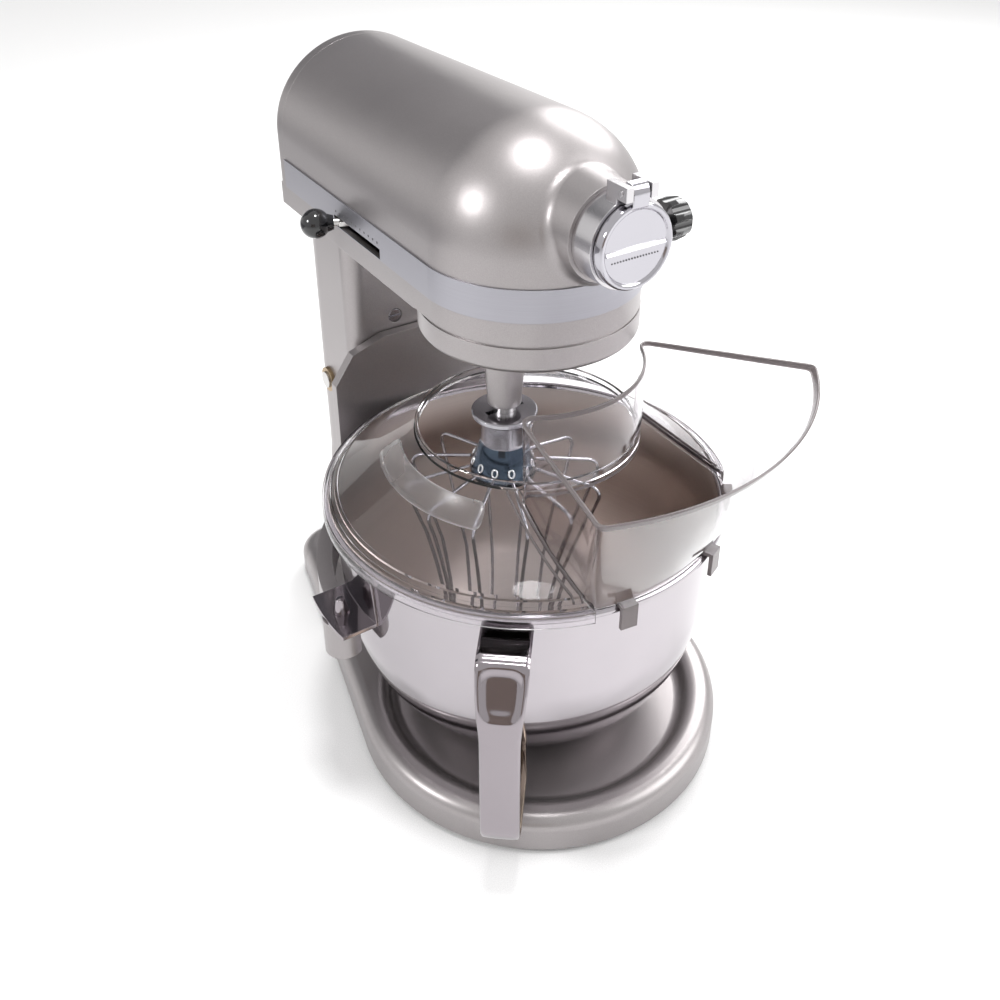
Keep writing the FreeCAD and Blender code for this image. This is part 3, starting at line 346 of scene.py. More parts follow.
finishes = {
    "satinNickel": paintFinish("satinNickel", (0.355, 0.332, 0.334)),
    "brushedBand": brushedBandFinish(),
    "polishedSteel": mirrorFinish("polishedSteel", (0.47, 0.44, 0.465), 0.05, 0.03),
    "spunInside": spunFinish("spunInside", (0.53, 0.465, 0.435), 0.34, 0.00005, 0.7),
    "chromePlate": mirrorFinish("chromePlate", (0.47, 0.46, 0.495), 0.07, 0.05),
    "clearWall": clearFinish("clearWall", (0.945, 0.932, 0.950), 0.01),
    # dark grey-brown for clear edges, ribs and clips: painted shade
    "clearEdgePaintedShade": edgeFinish("clearEdgePaintedShade", (0.20, 0.172, 0.175), 0.12),
    # a darker copy of the chrome: painted dark reflection on the handle, brackets and pins
    "steelPaintedDark": mirrorFinish("steelPaintedDark", (0.33, 0.30, 0.32), 0.09, 0.06),
    # near-black mirror for the handle's tab: a painted dark reflection
    "tabPaintedReflection": mirrorFinish("tabPaintedReflection", (0.055, 0.05, 0.052), 0.10, 0.06),
    "satinChrome": mirrorFinish("satinChrome", (0.60, 0.585, 0.60), 0.20, 0.08),
    "warmSteel": mirrorFinish("warmSteel", (0.34, 0.28, 0.225), 0.12, 0.08),
    # near-black blue chrome for the hub's skirt: a painted dark reflection
    "chromePaintedReflection": mirrorFinish("chromePaintedReflection", (0.075, 0.10, 0.135), 0.12, 0.06),
    "frostedWall": clearFinish("frostedWall", (0.96, 0.955, 0.96), 0.26),
    # near-white metal for the hub's oval collars: a painted highlight
    "ovalPaintedHighlight": mirrorFinish("ovalPaintedHighlight", (0.92, 0.92, 0.93), 0.22, 0.05),
    "hubSteel": mirrorFinish("hubSteel", (0.40, 0.39, 0.42), 0.14, 0.08),
    "darkMark": matteFinish("darkMark", (0.12, 0.12, 0.125), 0.5),
    "blackGloss": glossFinish("blackGloss", (0.008, 0.008, 0.009), 0.10),
    "blackMoulded": matteFinish("blackMoulded", (0.03, 0.03, 0.032), 0.45),
    "greyRubber": matteFinish("greyRubber", (0.07, 0.07, 0.072), 0.75, 0.0002),
    "machinedSteel": machinedFinish("machinedSteel", (0.60, 0.59, 0.58), 0.3),
    "oiledBronze": machinedFinish("oiledBronze", (0.40, 0.30, 0.19), 0.34),
    "varnishedCopper": machinedFinish("varnishedCopper", (0.55, 0.26, 0.14), 0.35, (60.0, 1800.0, 60.0)),
    "castIron": machinedFinish("castIron", (0.33, 0.33, 0.335), 0.5, (300.0, 300.0, 300.0)),
}

slotFinish = {
    "satin_paint": "satinNickel", "polished_bowl": "polishedSteel", "chrome": "chromePlate",
    "brushed_trim": "brushedBand", "clear_plastic": "clearWall", "black_gloss": "blackGloss",
    "black_matte": "blackMoulded", "grey_rubber": "greyRubber", "steel": "machinedSteel",
    "bronze": "oiledBronze", "copper_winding": "varnishedCopper", "cast_frame": "castIron",
}


def refinish(finishName, *nodeNames):
    for nodeName in nodeNames:
        mesh = nodes[nodeName].data
        mesh.materials.clear()
        mesh.materials.append(finishes[finishName])


for part in frame["record"]["subparts"]:
    refinish(slotFinish[part["material_slot"]], part["node"])
print("materials:", len(finishes))


# ---- mesh helpers, in millimetres from the bowl's axis ----
def place(x, y, z):
    return Vector((x * mm + bowlX, y * mm + bowlY, z * mm))


def addPiece(name, shape, finishNames, body, replacing=(), sharp=38, notch=None):
    bmesh.ops.remove_doubles(shape, verts=shape.verts, dist=0.000002)
    bmesh.ops.recalc_face_normals(shape, faces=shape.faces)
    mesh = bpy.data.meshes.new(name)
    shape.to_mesh(mesh)
    shape.free()
    for finish in finishNames:
        mesh.materials.append(finishes[finish])
    mesh.shade_smooth()
    mesh.set_sharp_from_angle(angle=math.radians(sharp))
    piece = link(bpy.data.objects.new(name, mesh))
    if notch:
        cutMesh(piece, notch)
    settle(piece, body, replacing)


def link(thing):
    bpy.context.scene.collection.objects.link(thing)
    return thing


def settle(piece, body, replacing=()):
    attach(piece, body)
    if replacing:
        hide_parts(*replacing)


def plainMesh(piece, modifier):
    # the modifier's result becomes the piece's own mesh
    bpy.context.view_layer.update()
    ready = piece.evaluated_get(bpy.context.evaluated_depsgraph_get())
    result = bpy.data.meshes.new_from_object(ready)
    piece.modifiers.remove(modifier)
    piece.data = result


def lathe(shape, profile, steps, turn=None):
    # profile: closed ring of (radius, height, finish of the band that follows)
    columns = []
    for i in range(steps):
        angle = 2 * math.pi * i / steps
        ring = []
        for radius, height, _ in profile:
            x, y = radius * math.cos(angle), radius * math.sin(angle)
            spot = turn @ Vector((x, y, height)) if turn else Vector((x, y, height))
            ring.append(shape.verts.new(place(*spot)))
        columns.append(ring)
    skin(shape, columns, True, [band for _, _, band in profile])


def skin(shape, columns, whole, bandFinish, cap=0):
    # joins neighbouring rings of the same length; an open row gets flat ends
    for i in range(len(columns) - (0 if whole else 1)):
        a, b = columns[i], columns[(i + 1) % len(columns)]
        for j in range(len(a)):
            k = (j + 1) % len(a)
            face = shape.faces.new((a[j], b[j], b[k], a[k]))
            face.material_index = bandFinish[j]
    if not whole:
        for ring in (columns[0], columns[-1]):
            shape.faces.new(ring).material_index = cap


def arcPoints(cx, cy, radius, first, last, steps):
    angles = [math.radians(first + (last - first) * i / steps) for i in range(steps + 1)]
    return [(cx + radius * math.cos(a), cy + radius * math.sin(a)) for a in angles]


def cutMesh(piece, tool):
    # takes the tool's shape out of a finished piece for good
    mesh = bpy.data.meshes.new("tool")
    tool.to_mesh(mesh)
    tool.free()
    cutter = link(bpy.data.objects.new("tool", mesh))
    modifier = piece.modifiers.new("cut", "BOOLEAN")
    modifier.operation, modifier.solver, modifier.object = "DIFFERENCE", "EXACT", cutter
    plainMesh(piece, modifier)
    bpy.data.objects.remove(cutter)


def filletPath(points, radii, steps=10):
    # rounds each inner corner of an open path by the radius given for it
    path = [Vector(points[0])]
    for i in range(1, len(points) - 1):
        corner = Vector(points[i])
        back = (Vector(points[i - 1]) - corner).normalized()
        ahead = (Vector(points[i + 1]) - corner).normalized()
        half = back.angle(ahead) / 2
        reach = radii[i - 1] / math.tan(half)
        middle = corner + (back + ahead).normalized() * (radii[i - 1] / math.sin(half))
        first, last = corner + back * reach - middle, corner + ahead * reach - middle
        for k in range(steps + 1):
            path.append(middle + first.slerp(last, k / steps).normalized() * radii[i - 1])
    path.append(Vector(points[-1]))
    return path


def spaced(path, count):
    # the same path with evenly spaced points
    lengths = [0.0]
    for a, b in zip(path, path[1:]):
        lengths.append(lengths[-1] + (b - a).length)
    points, j = [], 0
    for i in range(count):
        want = lengths[-1] * i / (count - 1)
        while j < len(path) - 2 and lengths[j + 1] < want:
            j += 1
        share = (want - lengths[j]) / max(1e-9, lengths[j + 1] - lengths[j])
        points.append(path[j].lerp(path[j + 1], min(1.0, max(0.0, share))))
    return points


def ease(value, low, high):
    t = min(1.0, max(0.0, (value - low) / (high - low)))
    return t * t * (3 - 2 * t)


# ---- copies in a row or round an axis ----
def makeCopier():
    # copies of a small mesh in a row, turned, spread outwards and flattened step by step
    tree = bpy.data.node_groups.new("copiesInTurn", "GeometryNodeTree")
    tree.interface.new_socket("Geometry", in_out="INPUT", socket_type="NodeSocketGeometry")
    for name, kind, value in (("Count", "Int", 6), ("Turn", "Float", 0.5), ("First turn", "Float", 0.0),
                              ("Out", "Float", 0.0), ("Step", "Vector", (0.0, 0.0, 0.0)),
                              ("Start", "Vector", (0.0, 0.0, 0.0)), ("Flatten", "Float", 0.0),
                              ("Finish", "Material", None)):
        socket = tree.interface.new_socket(name, in_out="INPUT", socket_type="NodeSocket" + kind)
        if value is not None:
            socket.default_value = value
    tree.interface.new_socket("Geometry", in_out="OUTPUT", socket_type="NodeSocketGeometry")
    links, new = tree.links, tree.nodes.new
    inside, out = new("NodeGroupInput"), new("NodeGroupOutput")
    line = new("GeometryNodeMeshLine")
    links.new(inside.outputs["Count"], line.inputs["Count"])
    links.new(inside.outputs["Start"], line.inputs["Start Location"])
    links.new(inside.outputs["Step"], line.inputs["Offset"])
    index = new("GeometryNodeInputIndex")
    angle = math2(tree, "ADD", math2(tree, "MULTIPLY", index.outputs[0], inside.outputs["Turn"]),
                  inside.outputs["First turn"])
    away = new("ShaderNodeCombineXYZ")
    for i, operation in enumerate(("COSINE", "SINE")):
        part = math2(tree, operation, angle, 0.0)
        links.new(math2(tree, "MULTIPLY", part, inside.outputs["Out"]), away.inputs[i])
    moved = new("GeometryNodeSetPosition")
    links.new(line.outputs[0], moved.inputs["Geometry"])
    links.new(away.outputs[0], moved.inputs["Offset"])
    turned, squeezed = new("ShaderNodeCombineXYZ"), new("ShaderNodeCombineXYZ")
    links.new(angle, turned.inputs[2])
    squeezed.inputs[0].default_value = squeezed.inputs[1].default_value = 1.0
    lost = math2(tree, "MULTIPLY", index.outputs[0], inside.outputs["Flatten"])
    links.new(math2(tree, "SUBTRACT", 1.0, lost), squeezed.inputs[2])
    copies = new("GeometryNodeInstanceOnPoints")
    links.new(moved.outputs[0], copies.inputs["Points"])
    links.new(inside.outputs["Geometry"], copies.inputs["Instance"])
    links.new(turned.outputs[0], copies.inputs["Rotation"])
    links.new(squeezed.outputs[0], copies.inputs["Scale"])
    real, finish = new("GeometryNodeRealizeInstances"), new("GeometryNodeSetMaterial")
    links.new(copies.outputs[0], real.inputs[0])
    links.new(real.outputs[0], finish.inputs["Geometry"])
    links.new(inside.outputs["Finish"], finish.inputs["Material"])
    links.new(finish.outputs[0], out.inputs[0])
    return tree


copier = makeCopier()


def copied(name, shape, inputs, finish, body, replacing=(), sharp=60):
    # the shape stands at the origin; the copies come out as one plain mesh
    bmesh.ops.recalc_face_normals(shape, faces=shape.faces)
    seed = bpy.data.meshes.new(name + "Seed")
    shape.to_mesh(seed)
    shape.free()
    holder = link(bpy.data.objects.new(name, seed))
    modifier = holder.modifiers.new("copies", "NODES")
    modifier.node_group = copier
    keys = {item.name: item.identifier for item in copier.interface.items_tree if item.in_out == "INPUT"}
    for socketName, value in {**inputs, "Finish": finishes[finish]}.items():
        modifier[keys[socketName]] = value
    plainMesh(holder, modifier)
    holder.data.name = name
    holder.data.shade_smooth()
    holder.data.set_sharp_from_angle(angle=math.radians(sharp))
    settle(holder, body, replacing)


def wireTube(shape, path, radius, sides=10):
    # a round wire along a closed-ended path
    rings = []
    across = Vector((0, 1, 0))
    for i, point in enumerate(path):
        ahead = (path[min(i + 1, len(path) - 1)] - path[max(i - 1, 0)]).normalized()
        side = across.cross(ahead).normalized()
        other = ahead.cross(side)
        rings.append([shape.verts.new(point + (side * math.cos(2 * math.pi * k / sides)
                                               + other * math.sin(2 * math.pi * k / sides)) * radius)
                      for k in range(sides)])
    skin(shape, rings, False, [0] * sides)


# ---- bowl ----
def makeBowl():
    values = {"waist": 117.0, "floor": 45.0, "deep": 96.0, "waistHeight": 118.0, "wall": 1.5,
              "bead": 2.4, "beadRadius": 122.4, "beadHeight": 177.6, "steps": 40}
    wide, wall = values["waist"] - values["floor"], values["wall"]

    def side(inset):
        # a quarter of an ellipse, from the floor's edge to the waist
        angles = [math.pi / 2 * i / values["steps"] for i in range(values["steps"] + 1)]
        return [(values["floor"] + (wide - inset) * math.sin(a),
                 values["waistHeight"] - (values["deep"] - inset) * math.cos(a)) for a in angles]

    outside = [(0, 22.0), (43.6, 22.0), (44.0, 20.4), (44.4, 20.0), (47.6, 20.0), (48.0, 20.4), (48.2, 22.1)]
    outside += [p for p in side(0.0) if p[0] > 49.0] + [(120.8, 174.9)]
    outside += arcPoints(values["beadRadius"], values["beadHeight"], values["bead"], -128, 170, 20)
    within = [(119.5, 177.4)] + side(wall)[::-1] + [(0, 22.0 + wall)]
    shape = bmesh.new()
    lathe(shape, [(r, z, 0) for r, z in outside] + [(r, z, 1) for r, z in within], steps=224)
    addPiece("bowlShell", shape, ["polishedSteel", "spunInside"], "lift", ["bowl"])


def makeHandle():
    values = {"angle": -128.5, "wideTop": 29.0, "wideLow": 22.5, "wideEnd": 0.75, "thick": 3.4, "along": 190,
              "across": 22, "edge": 0.14, "edgeDrop": 1.2, "crown": 0.5,
              "groove": 0.9, "grooveAt": 25.2, "grooveWide": 0.9,
              "dish": 1.86, "dishAt": 44.0, "dishReach": 15.5, "dishWide": 0.86,
              "tab": (0.006, 0.092)}   # share of the strip's length whose top is painted near-black, a painted dark reflection
    flat = 1 - values["edge"]
    corners = [(118.8, 168.9), (146.5, 168.9), (160.2, 143.0), (160.2, 37.9), (82.4, 37.9), (82.4, 50.0)]
    path = filletPath(corners, [9.0, 24.0, 19.0, 9.0], 14)
    path = spaced(path, values["along"])
    spin = Matrix.Rotation(math.radians(values["angle"]), 3, "Z")
    shape, rings, travelled = bmesh.new(), [], 0.0
    for i, point in enumerate(path):
        ahead = (path[min(i + 1, len(path) - 1)] - path[max(i - 1, 0)]).normalized()
        out = Vector((-ahead.y, ahead.x))   # away from the loop's inside
        if i:
            travelled += (point - path[i - 1]).length
        wide = values["wideTop"] + (values["wideLow"] - values["wideTop"]) * ease(travelled, 30, 78)
        wide *= 1 - (1 - values["wideEnd"]) * ease(travelled, 200, 235)
        ring = []
        count = values["across"]
        for k in range(count + 1):
            u = -1 + 2 * k / count
            edge = max(0.0, abs(u) - flat) / values["edge"]
            lift = values["thick"] / 2 - values["edgeDrop"] * edge * edge
            fromDish = (travelled - values["dishAt"]) / values["dishReach"]
            fromGroove = (travelled - values["grooveAt"]) / values["grooveWide"]
            lift -= values["dish"] * ease(1 - (u / values["dishWide"]) ** 4 - fromDish ** 4, 0.0, 0.9)
            lift -= values["groove"] * math.exp(-fromGroove ** 2)
            lift += values["crown"] * (1 - u * u) * ease(travelled, 62, 80)
            ring.append((u, lift))
        for k in range(count + 1):
            u = 1 - 2 * k / count
            edge = max(0.0, abs(u) - flat) / values["edge"]
            ring.append((u, -values["thick"] / 2 + values["edgeDrop"] * edge * edge))
        verts = []
        for u, lift in ring:
            spot = point + out * lift
            verts.append(shape.verts.new(place(*(spin @ Vector((spot.x, u * wide / 2, spot.y))))))
        rings.append(verts)
    bands = [0] * (values["across"] + 1) + [1] * (values["across"] + 1)
    skin(shape, rings, False, bands)
    shape.faces.ensure_lookup_table()
    perStrip = len(bands)
    for i in range(len(rings) - 1):
        share = i / (len(rings) - 1)
        # top faces in this span take the near-black finish, a painted dark reflection
        if values["tab"][0] < share < values["tab"][1]:
            for k in range(1, values["across"] - 1):
                shape.faces[i * perStrip + k].material_index = 2
    addPiece("bowlHandle", shape, ["steelPaintedDark", "warmSteel", "tabPaintedReflection"], "lift",
             ["bowl_handle"], 50)


makeBowl()
makeHandle()
print("bowl and handle")


# ---- pouring shield and its hopper ----
hopper = {"inner": 69.0, "outerTop": 165.0, "outerLow": 121.0, "top": 272.0, "low": 170.0, "wall": 1.7,
          "innerAngles": (-127.0, -19.0), "leftAngle": (-106.0, -6.0), "rightAngle": (-30.0, -7.5),
          "corners": (9.0, 9.0, 3.2, 3.2), "rim": 180.0}


def hopperOuter(height):
    # outer radius, and the left and right angles, of the outline at one height
    t = (height - hopper["rim"]) / (hopper["top"] - hopper["rim"])
    radius = hopper["outerLow"] + (hopper["outerTop"] - hopper["outerLow"]) * t
    return radius, *[start + more * t for start, more in (hopper["leftAngle"], hopper["rightAngle"])]


def hopperRing(height):
    # outline of the hopper at one height: inner arc, right side, outer arc, left side, with round corners
    outer, left, right = hopperOuter(height)
    a, d = hopper["innerAngles"]
    sides = [[Vector(p) for p in arcPoints(0, 0, hopper["inner"], a, d, 120)],
             None, [Vector(p) for p in arcPoints(0, 0, outer, right, left, 120)], None]
    sides[1] = [sides[0][-1].lerp(sides[2][0], i / 60) for i in range(61)]
    sides[3] = [sides[2][-1].lerp(sides[0][0], i / 60) for i in range(61)]
    rounding = hopper["corners"]
    ends = [(rounding[0], rounding[1]), (rounding[1], rounding[2]), (rounding[2], rounding[3]),
            (rounding[3], rounding[0])]
    counts = (44, 16, 60, 16)
    trimmed = []
    for line, (first, last), count in zip(sides, ends, counts):
        total = sum((q - p).length for p, q in zip(line, line[1:]))
        fine = spaced(line, 600)
        low, high = int(599 * first / total), int(599 * (1 - last / total))
        trimmed.append(spaced(fine[low:high + 1], count))
    ring = []
    for i, line in enumerate(trimmed):
        ring += line
        after = trimmed[(i + 1) % 4]
        corner = sides[i][-1]
        for k in range(1, 8):
            t = k / 8
            ring.append(line[-1] * (1 - t) ** 2 + corner * 2 * t * (1 - t) + after[0] * t * t)
    return ring


def inset(ring, distance):
    moved = []
    for i, point in enumerate(ring):
        ahead = (ring[(i + 1) % len(ring)] - ring[i - 1]).normalized()
        moved.append(point + Vector((ahead.y, -ahead.x)) * distance)
    return moved


def coneHeight(radius):
    # top of the shield's sloping skin, which falls from the opening to the rim
    return 224.0 - (radius - 68.2) * 0.7368


def wallAngle(radius, left):
    # where the hopper's side wall crosses the shield's cone at one radius, in degrees
    outer, leftAngle, rightAngle = hopperOuter(coneHeight(radius))
    a0 = math.radians(hopper["innerAngles"][0] if left else hopper["innerAngles"][1])
    a1 = math.radians(leftAngle if left else rightAngle)
    start = Vector((hopper["inner"] * math.cos(a0), hopper["inner"] * math.sin(a0)))
    end = Vector((outer * math.cos(a1), outer * math.sin(a1)))
    for i in range(401):
        spot = start.lerp(end, i / 400)
        if spot.length >= radius:
            break
    return math.degrees(math.atan2(spot.y, spot.x))


def makeShield():
    values = {"steps": 200, "clear": 0.35}
    shape = bmesh.new()
    # the lip of the opening is a whole ring
    lip = [(66.0, 222.8), (67.9, 222.8), (67.9, 227.6), (67.5, 228.1), (66.5, 228.1), (66.0, 227.6)]
    lathe(shape, [(r, z, 0) for r, z in lip], steps=200)
    # the cone, its ringed flange and the skirt round the bowl's bead stop at the hopper
    section = [(68.0, 221.9, 0), (68.0, 224.1, 0), (96.0, 203.5, 0), (116.5, 188.4, 0), (117.1, 189.0, 0),
               (118.6, 188.0, 0), (118.9, 186.7, 0), (121.0, 185.1, 0), (121.6, 185.5, 0), (123.0, 184.4, 0),
               (123.4, 183.2, 0), (125.2, 182.6, 0), (126.5, 182.2, 1), (126.8, 181.4, 0), (126.8, 174.4, 1),
               (126.4, 174.0, 0), (125.4, 174.2, 0), (125.3, 180.3, 0), (124.0, 180.5, 0), (96.0, 201.2, 0)]
    columns = []
    for i in range(values["steps"] + 1):
        ring = []
        for radius, height, _ in section:
            near = min(radius, 118.0)
            leftStop = wallAngle(near, True) if radius < 119 else -106.5
            rightStop = wallAngle(near, False) if radius < 119 else -29.5
            slack = math.degrees(values["clear"] / radius)
            angle = math.radians((rightStop + slack) + (leftStop - slack + 360 - rightStop - slack)
                                 * i / values["steps"])
            ring.append(shape.verts.new(place(radius * math.cos(angle), radius * math.sin(angle), height)))
        columns.append(ring)
    skin(shape, columns, False, [s[2] for s in section], 1)
    addPiece("shieldSkin", shape, ["clearWall", "clearEdgePaintedShade"], "lift", ["pouring_shield"], 30)


def makeRibs():
    # raised ribs beside the hopper, and the plain frosted tab on the cone
    values = {"offsets": (-3.4, -8.2), "high": 1.7, "thick": 1.1, "tabAngles": (153.0, 219.5),
              "tabRadii": (77.0, 90.0), "tabCorner": 4.0, "tabFrame": 1.3, "tabHigh": 0.9,
              "ribStart": 70.5, "ribLength": 50.5}
    shape = bmesh.new()
    for side, sign in ((True, 1), (False, -1)):
        for offset in values["offsets"][:2 if side else 1]:
            columns = []
            for i in range(41):
                radius = values["ribStart"] + values["ribLength"] * i / 40
                base = wallAngle(min(radius, 118.0), side)
                ring = []
                for half, height in ((-0.5, -0.3), (0.5, -0.3), (0.4, 0.8), (0.0, 1.0), (-0.4, 0.8)):
                    angle = math.radians(base) + (sign * offset + half * values["thick"]) / radius
                    z = coneHeight(radius) + 0.2 + height * values["high"]
                    ring.append(shape.verts.new(place(radius * math.cos(angle), radius * math.sin(angle), z)))
                columns.append(ring)
            skin(shape, columns, False, [0] * 5)
    addPiece("shieldRibs", shape, ["clearEdgePaintedShade"], "lift")

    shape, columns = bmesh.new(), []
    first, last = values["tabAngles"]
    r0, r1 = values["tabRadii"]
    corner, frame, high = values["tabCorner"], values["tabFrame"], values["tabHigh"]
    for i in range(121):
        angle = first + (last - first) * i / 120
        fromEnd = min(angle - first, last - angle) * math.pi / 180 * (r0 + r1) / 2
        short = max(0.0, corner - fromEnd)
        cut = corner - math.sqrt(max(0.0, corner ** 2 - short ** 2))   # rounds the tab's corners
        near, far = r0 + cut, r1 - cut
        section = [(near, -0.2), (near, high), (near + frame, high), (near + frame + 0.3, high / 2),
                   (far - frame - 0.3, high / 2), (far - frame, high), (far, high), (far, -0.2)]
        a = math.radians(angle)
        columns.append([shape.verts.new(place(r * math.cos(a), r * math.sin(a), coneHeight(r) + 0.25 + h))
                        for r, h in section])
    skin(shape, columns, False, [0] * 8)
    addPiece("shieldTab", shape, ["frostedWall"], "lift")


def makeHopper():
    values = {"levels": 26}
    shape, skins = bmesh.new(), []
    lowRing, highRing = hopperRing(hopper["low"]), hopperRing(hopper["top"])
    for depth in (0.0, hopper["wall"]):
        bottom, top = inset(lowRing, -depth), inset(highRing, -depth)
        rows = []
        for low, high in zip(bottom, top):
            height = 200.0
            for _ in range(12):
                t = (height - hopper["low"]) / (hopper["top"] - hopper["low"])
                height = max(180.5, coneHeight(low.lerp(high, t).length) - 4.0)
            column = []
            for k in range(values["levels"] + 1):
                z = height + (hopper["top"] - 0.7 - height) * k / values["levels"]
                t = (z - hopper["low"]) / (hopper["top"] - hopper["low"])
                spot = low.lerp(high, t)
                column.append((spot.x, spot.y, z))
            rows.append(column)
        skins.append(rows)
    columns = []
    for outer, inner in zip(*skins):
        middle = [(outer[-1][0] * (1 - s) + inner[-1][0] * s, outer[-1][1] * (1 - s) + inner[-1][1] * s,
                   hopper["top"] - 0.7 + 0.7 * math.sin(math.pi * s) ** 0.5) for s in (0.25, 0.5, 0.75)]
        columns.append([shape.verts.new(place(*p)) for p in outer + middle + inner[::-1]])
    count = values["levels"]
    # band 1, the rim, takes the dark edge finish: painted shade
    bands = [0] * count + [1] * 4 + [0] * count + [1]
    bands[count - 1] = 1
    bands[count + 4] = 1
    skin(shape, columns, True, bands)
    addPiece("hopperWalls", shape, ["clearWall", "clearEdgePaintedShade"], "lift", ["pouring_chute"], 50)


makeShield()
makeRibs()
makeHopper()
refinish("clearEdgePaintedShade", "chute_clips")
print("shield and hopper")


# ---- whisk ----
def makeWhisk():
    values = {"axis": (-24.06, -12.26), "hubHeight": 207.0,
              "wires": 6, "wire": 1.05, "low": 76.0, "lowStep": 2.5,
              "sockets": 12, "first": 10.0, "collar": (1.6, 2.4), "collarOut": 18.9, "collarHeight": 215.0,
              "skirtLean": 20.0, "notch": (24.8, 3.8, 30.0), "notchHeight": 248.0}
    x, y = values["axis"]
    hub = values["hubHeight"]
    points = [(21.0, 0, 5.0), (60.5, 0, -3.5), (22, 0, values["low"] - hub), (-22, 0, values["low"] - hub),
              (-60.5, 0, -3.5), (-21.0, 0, 5.0)]
    path = filletPath([Vector(p) * mm for p in points], [8 * mm, 17 * mm, 17 * mm, 8 * mm], 9)
    shape = bmesh.new()
    wireTube(shape, path, values["wire"] * mm, 12)
    deep = hub - values["low"]
    copied("whiskWires", shape,
           {"Count": values["wires"], "Turn": math.pi / values["wires"],
            "First turn": math.radians(values["first"]),
            "Start": tuple(place(x, y, hub)), "Flatten": values["lowStep"] / deep},
           "chromePlate", "beater", ["whisk_wires"])

    # oval collars where the wires enter the hub, in near-white metal: a painted highlight
    shape = bmesh.new()
    ring, lean = [], Matrix.Rotation(math.radians(-values["skirtLean"]), 3, "Y")
    for i in range(20):
        a = 2 * math.pi * i / 20
        wide, tall = values["collar"]
        section = [(0.6 * math.cos(math.pi * k / 4), 0.65 * math.sin(math.pi * k / 4)) for k in range(8)]
        side, up = math.cos(a), math.sin(a)
        points = [lean @ Vector((out, (wide + more) * side, (tall + more) * up)) for out, more in section]
        ring.append([shape.verts.new(point * mm) for point in points])
    skin(shape, ring, True, [0] * 8)
    copied("wireCollars", shape,
           {"Count": values["sockets"], "Turn": 2 * math.pi / values["sockets"],
            "First turn": math.radians(values["first"]), "Out": values["collarOut"] * mm,
            "Start": tuple(place(x, y, values["collarHeight"]))},
           "ovalPaintedHighlight", "beater")

    # flange with its bayonet notch, waist, and the flared skirt that the wires enter; the skirt is painted
    # near-black blue, a painted dark reflection
    profile = [(6.4, 249), (18.6, 249), (19.2, 248.4), (19.2, 246.2), (18.7, 245.5), (14.4, 244.6),
               (13.8, 243.8), (13.6, 229.5), (13.9, 228), (14.6, 226.6), (20.4, 210.6), (20.6, 208.8),
               (20.4, 206.8), (18.6, 205.4),
               (0, 205.4), (0, 219), (6.4, 219)]
    shape = bmesh.new()
    lathe(shape, [(r, z, 1 if 206 < z < 228.5 and r > 13 else 0) for r, z in profile], steps=96,
          turn=Matrix.Translation((x, y, 0)))
    notch = bmesh.new()
    size = [side * mm for side in values["notch"]]
    bmesh.ops.create_cube(notch, size=1.0, matrix=Matrix.Translation(place(x, y, values["notchHeight"]))
                          @ Matrix.Diagonal((*size, 1.0)))
    addPiece("whiskHub", shape, ["hubSteel", "chromePaintedReflection"], "beater", ["whisk_hub"], 28, notch)


makeWhisk()
print("whisk")


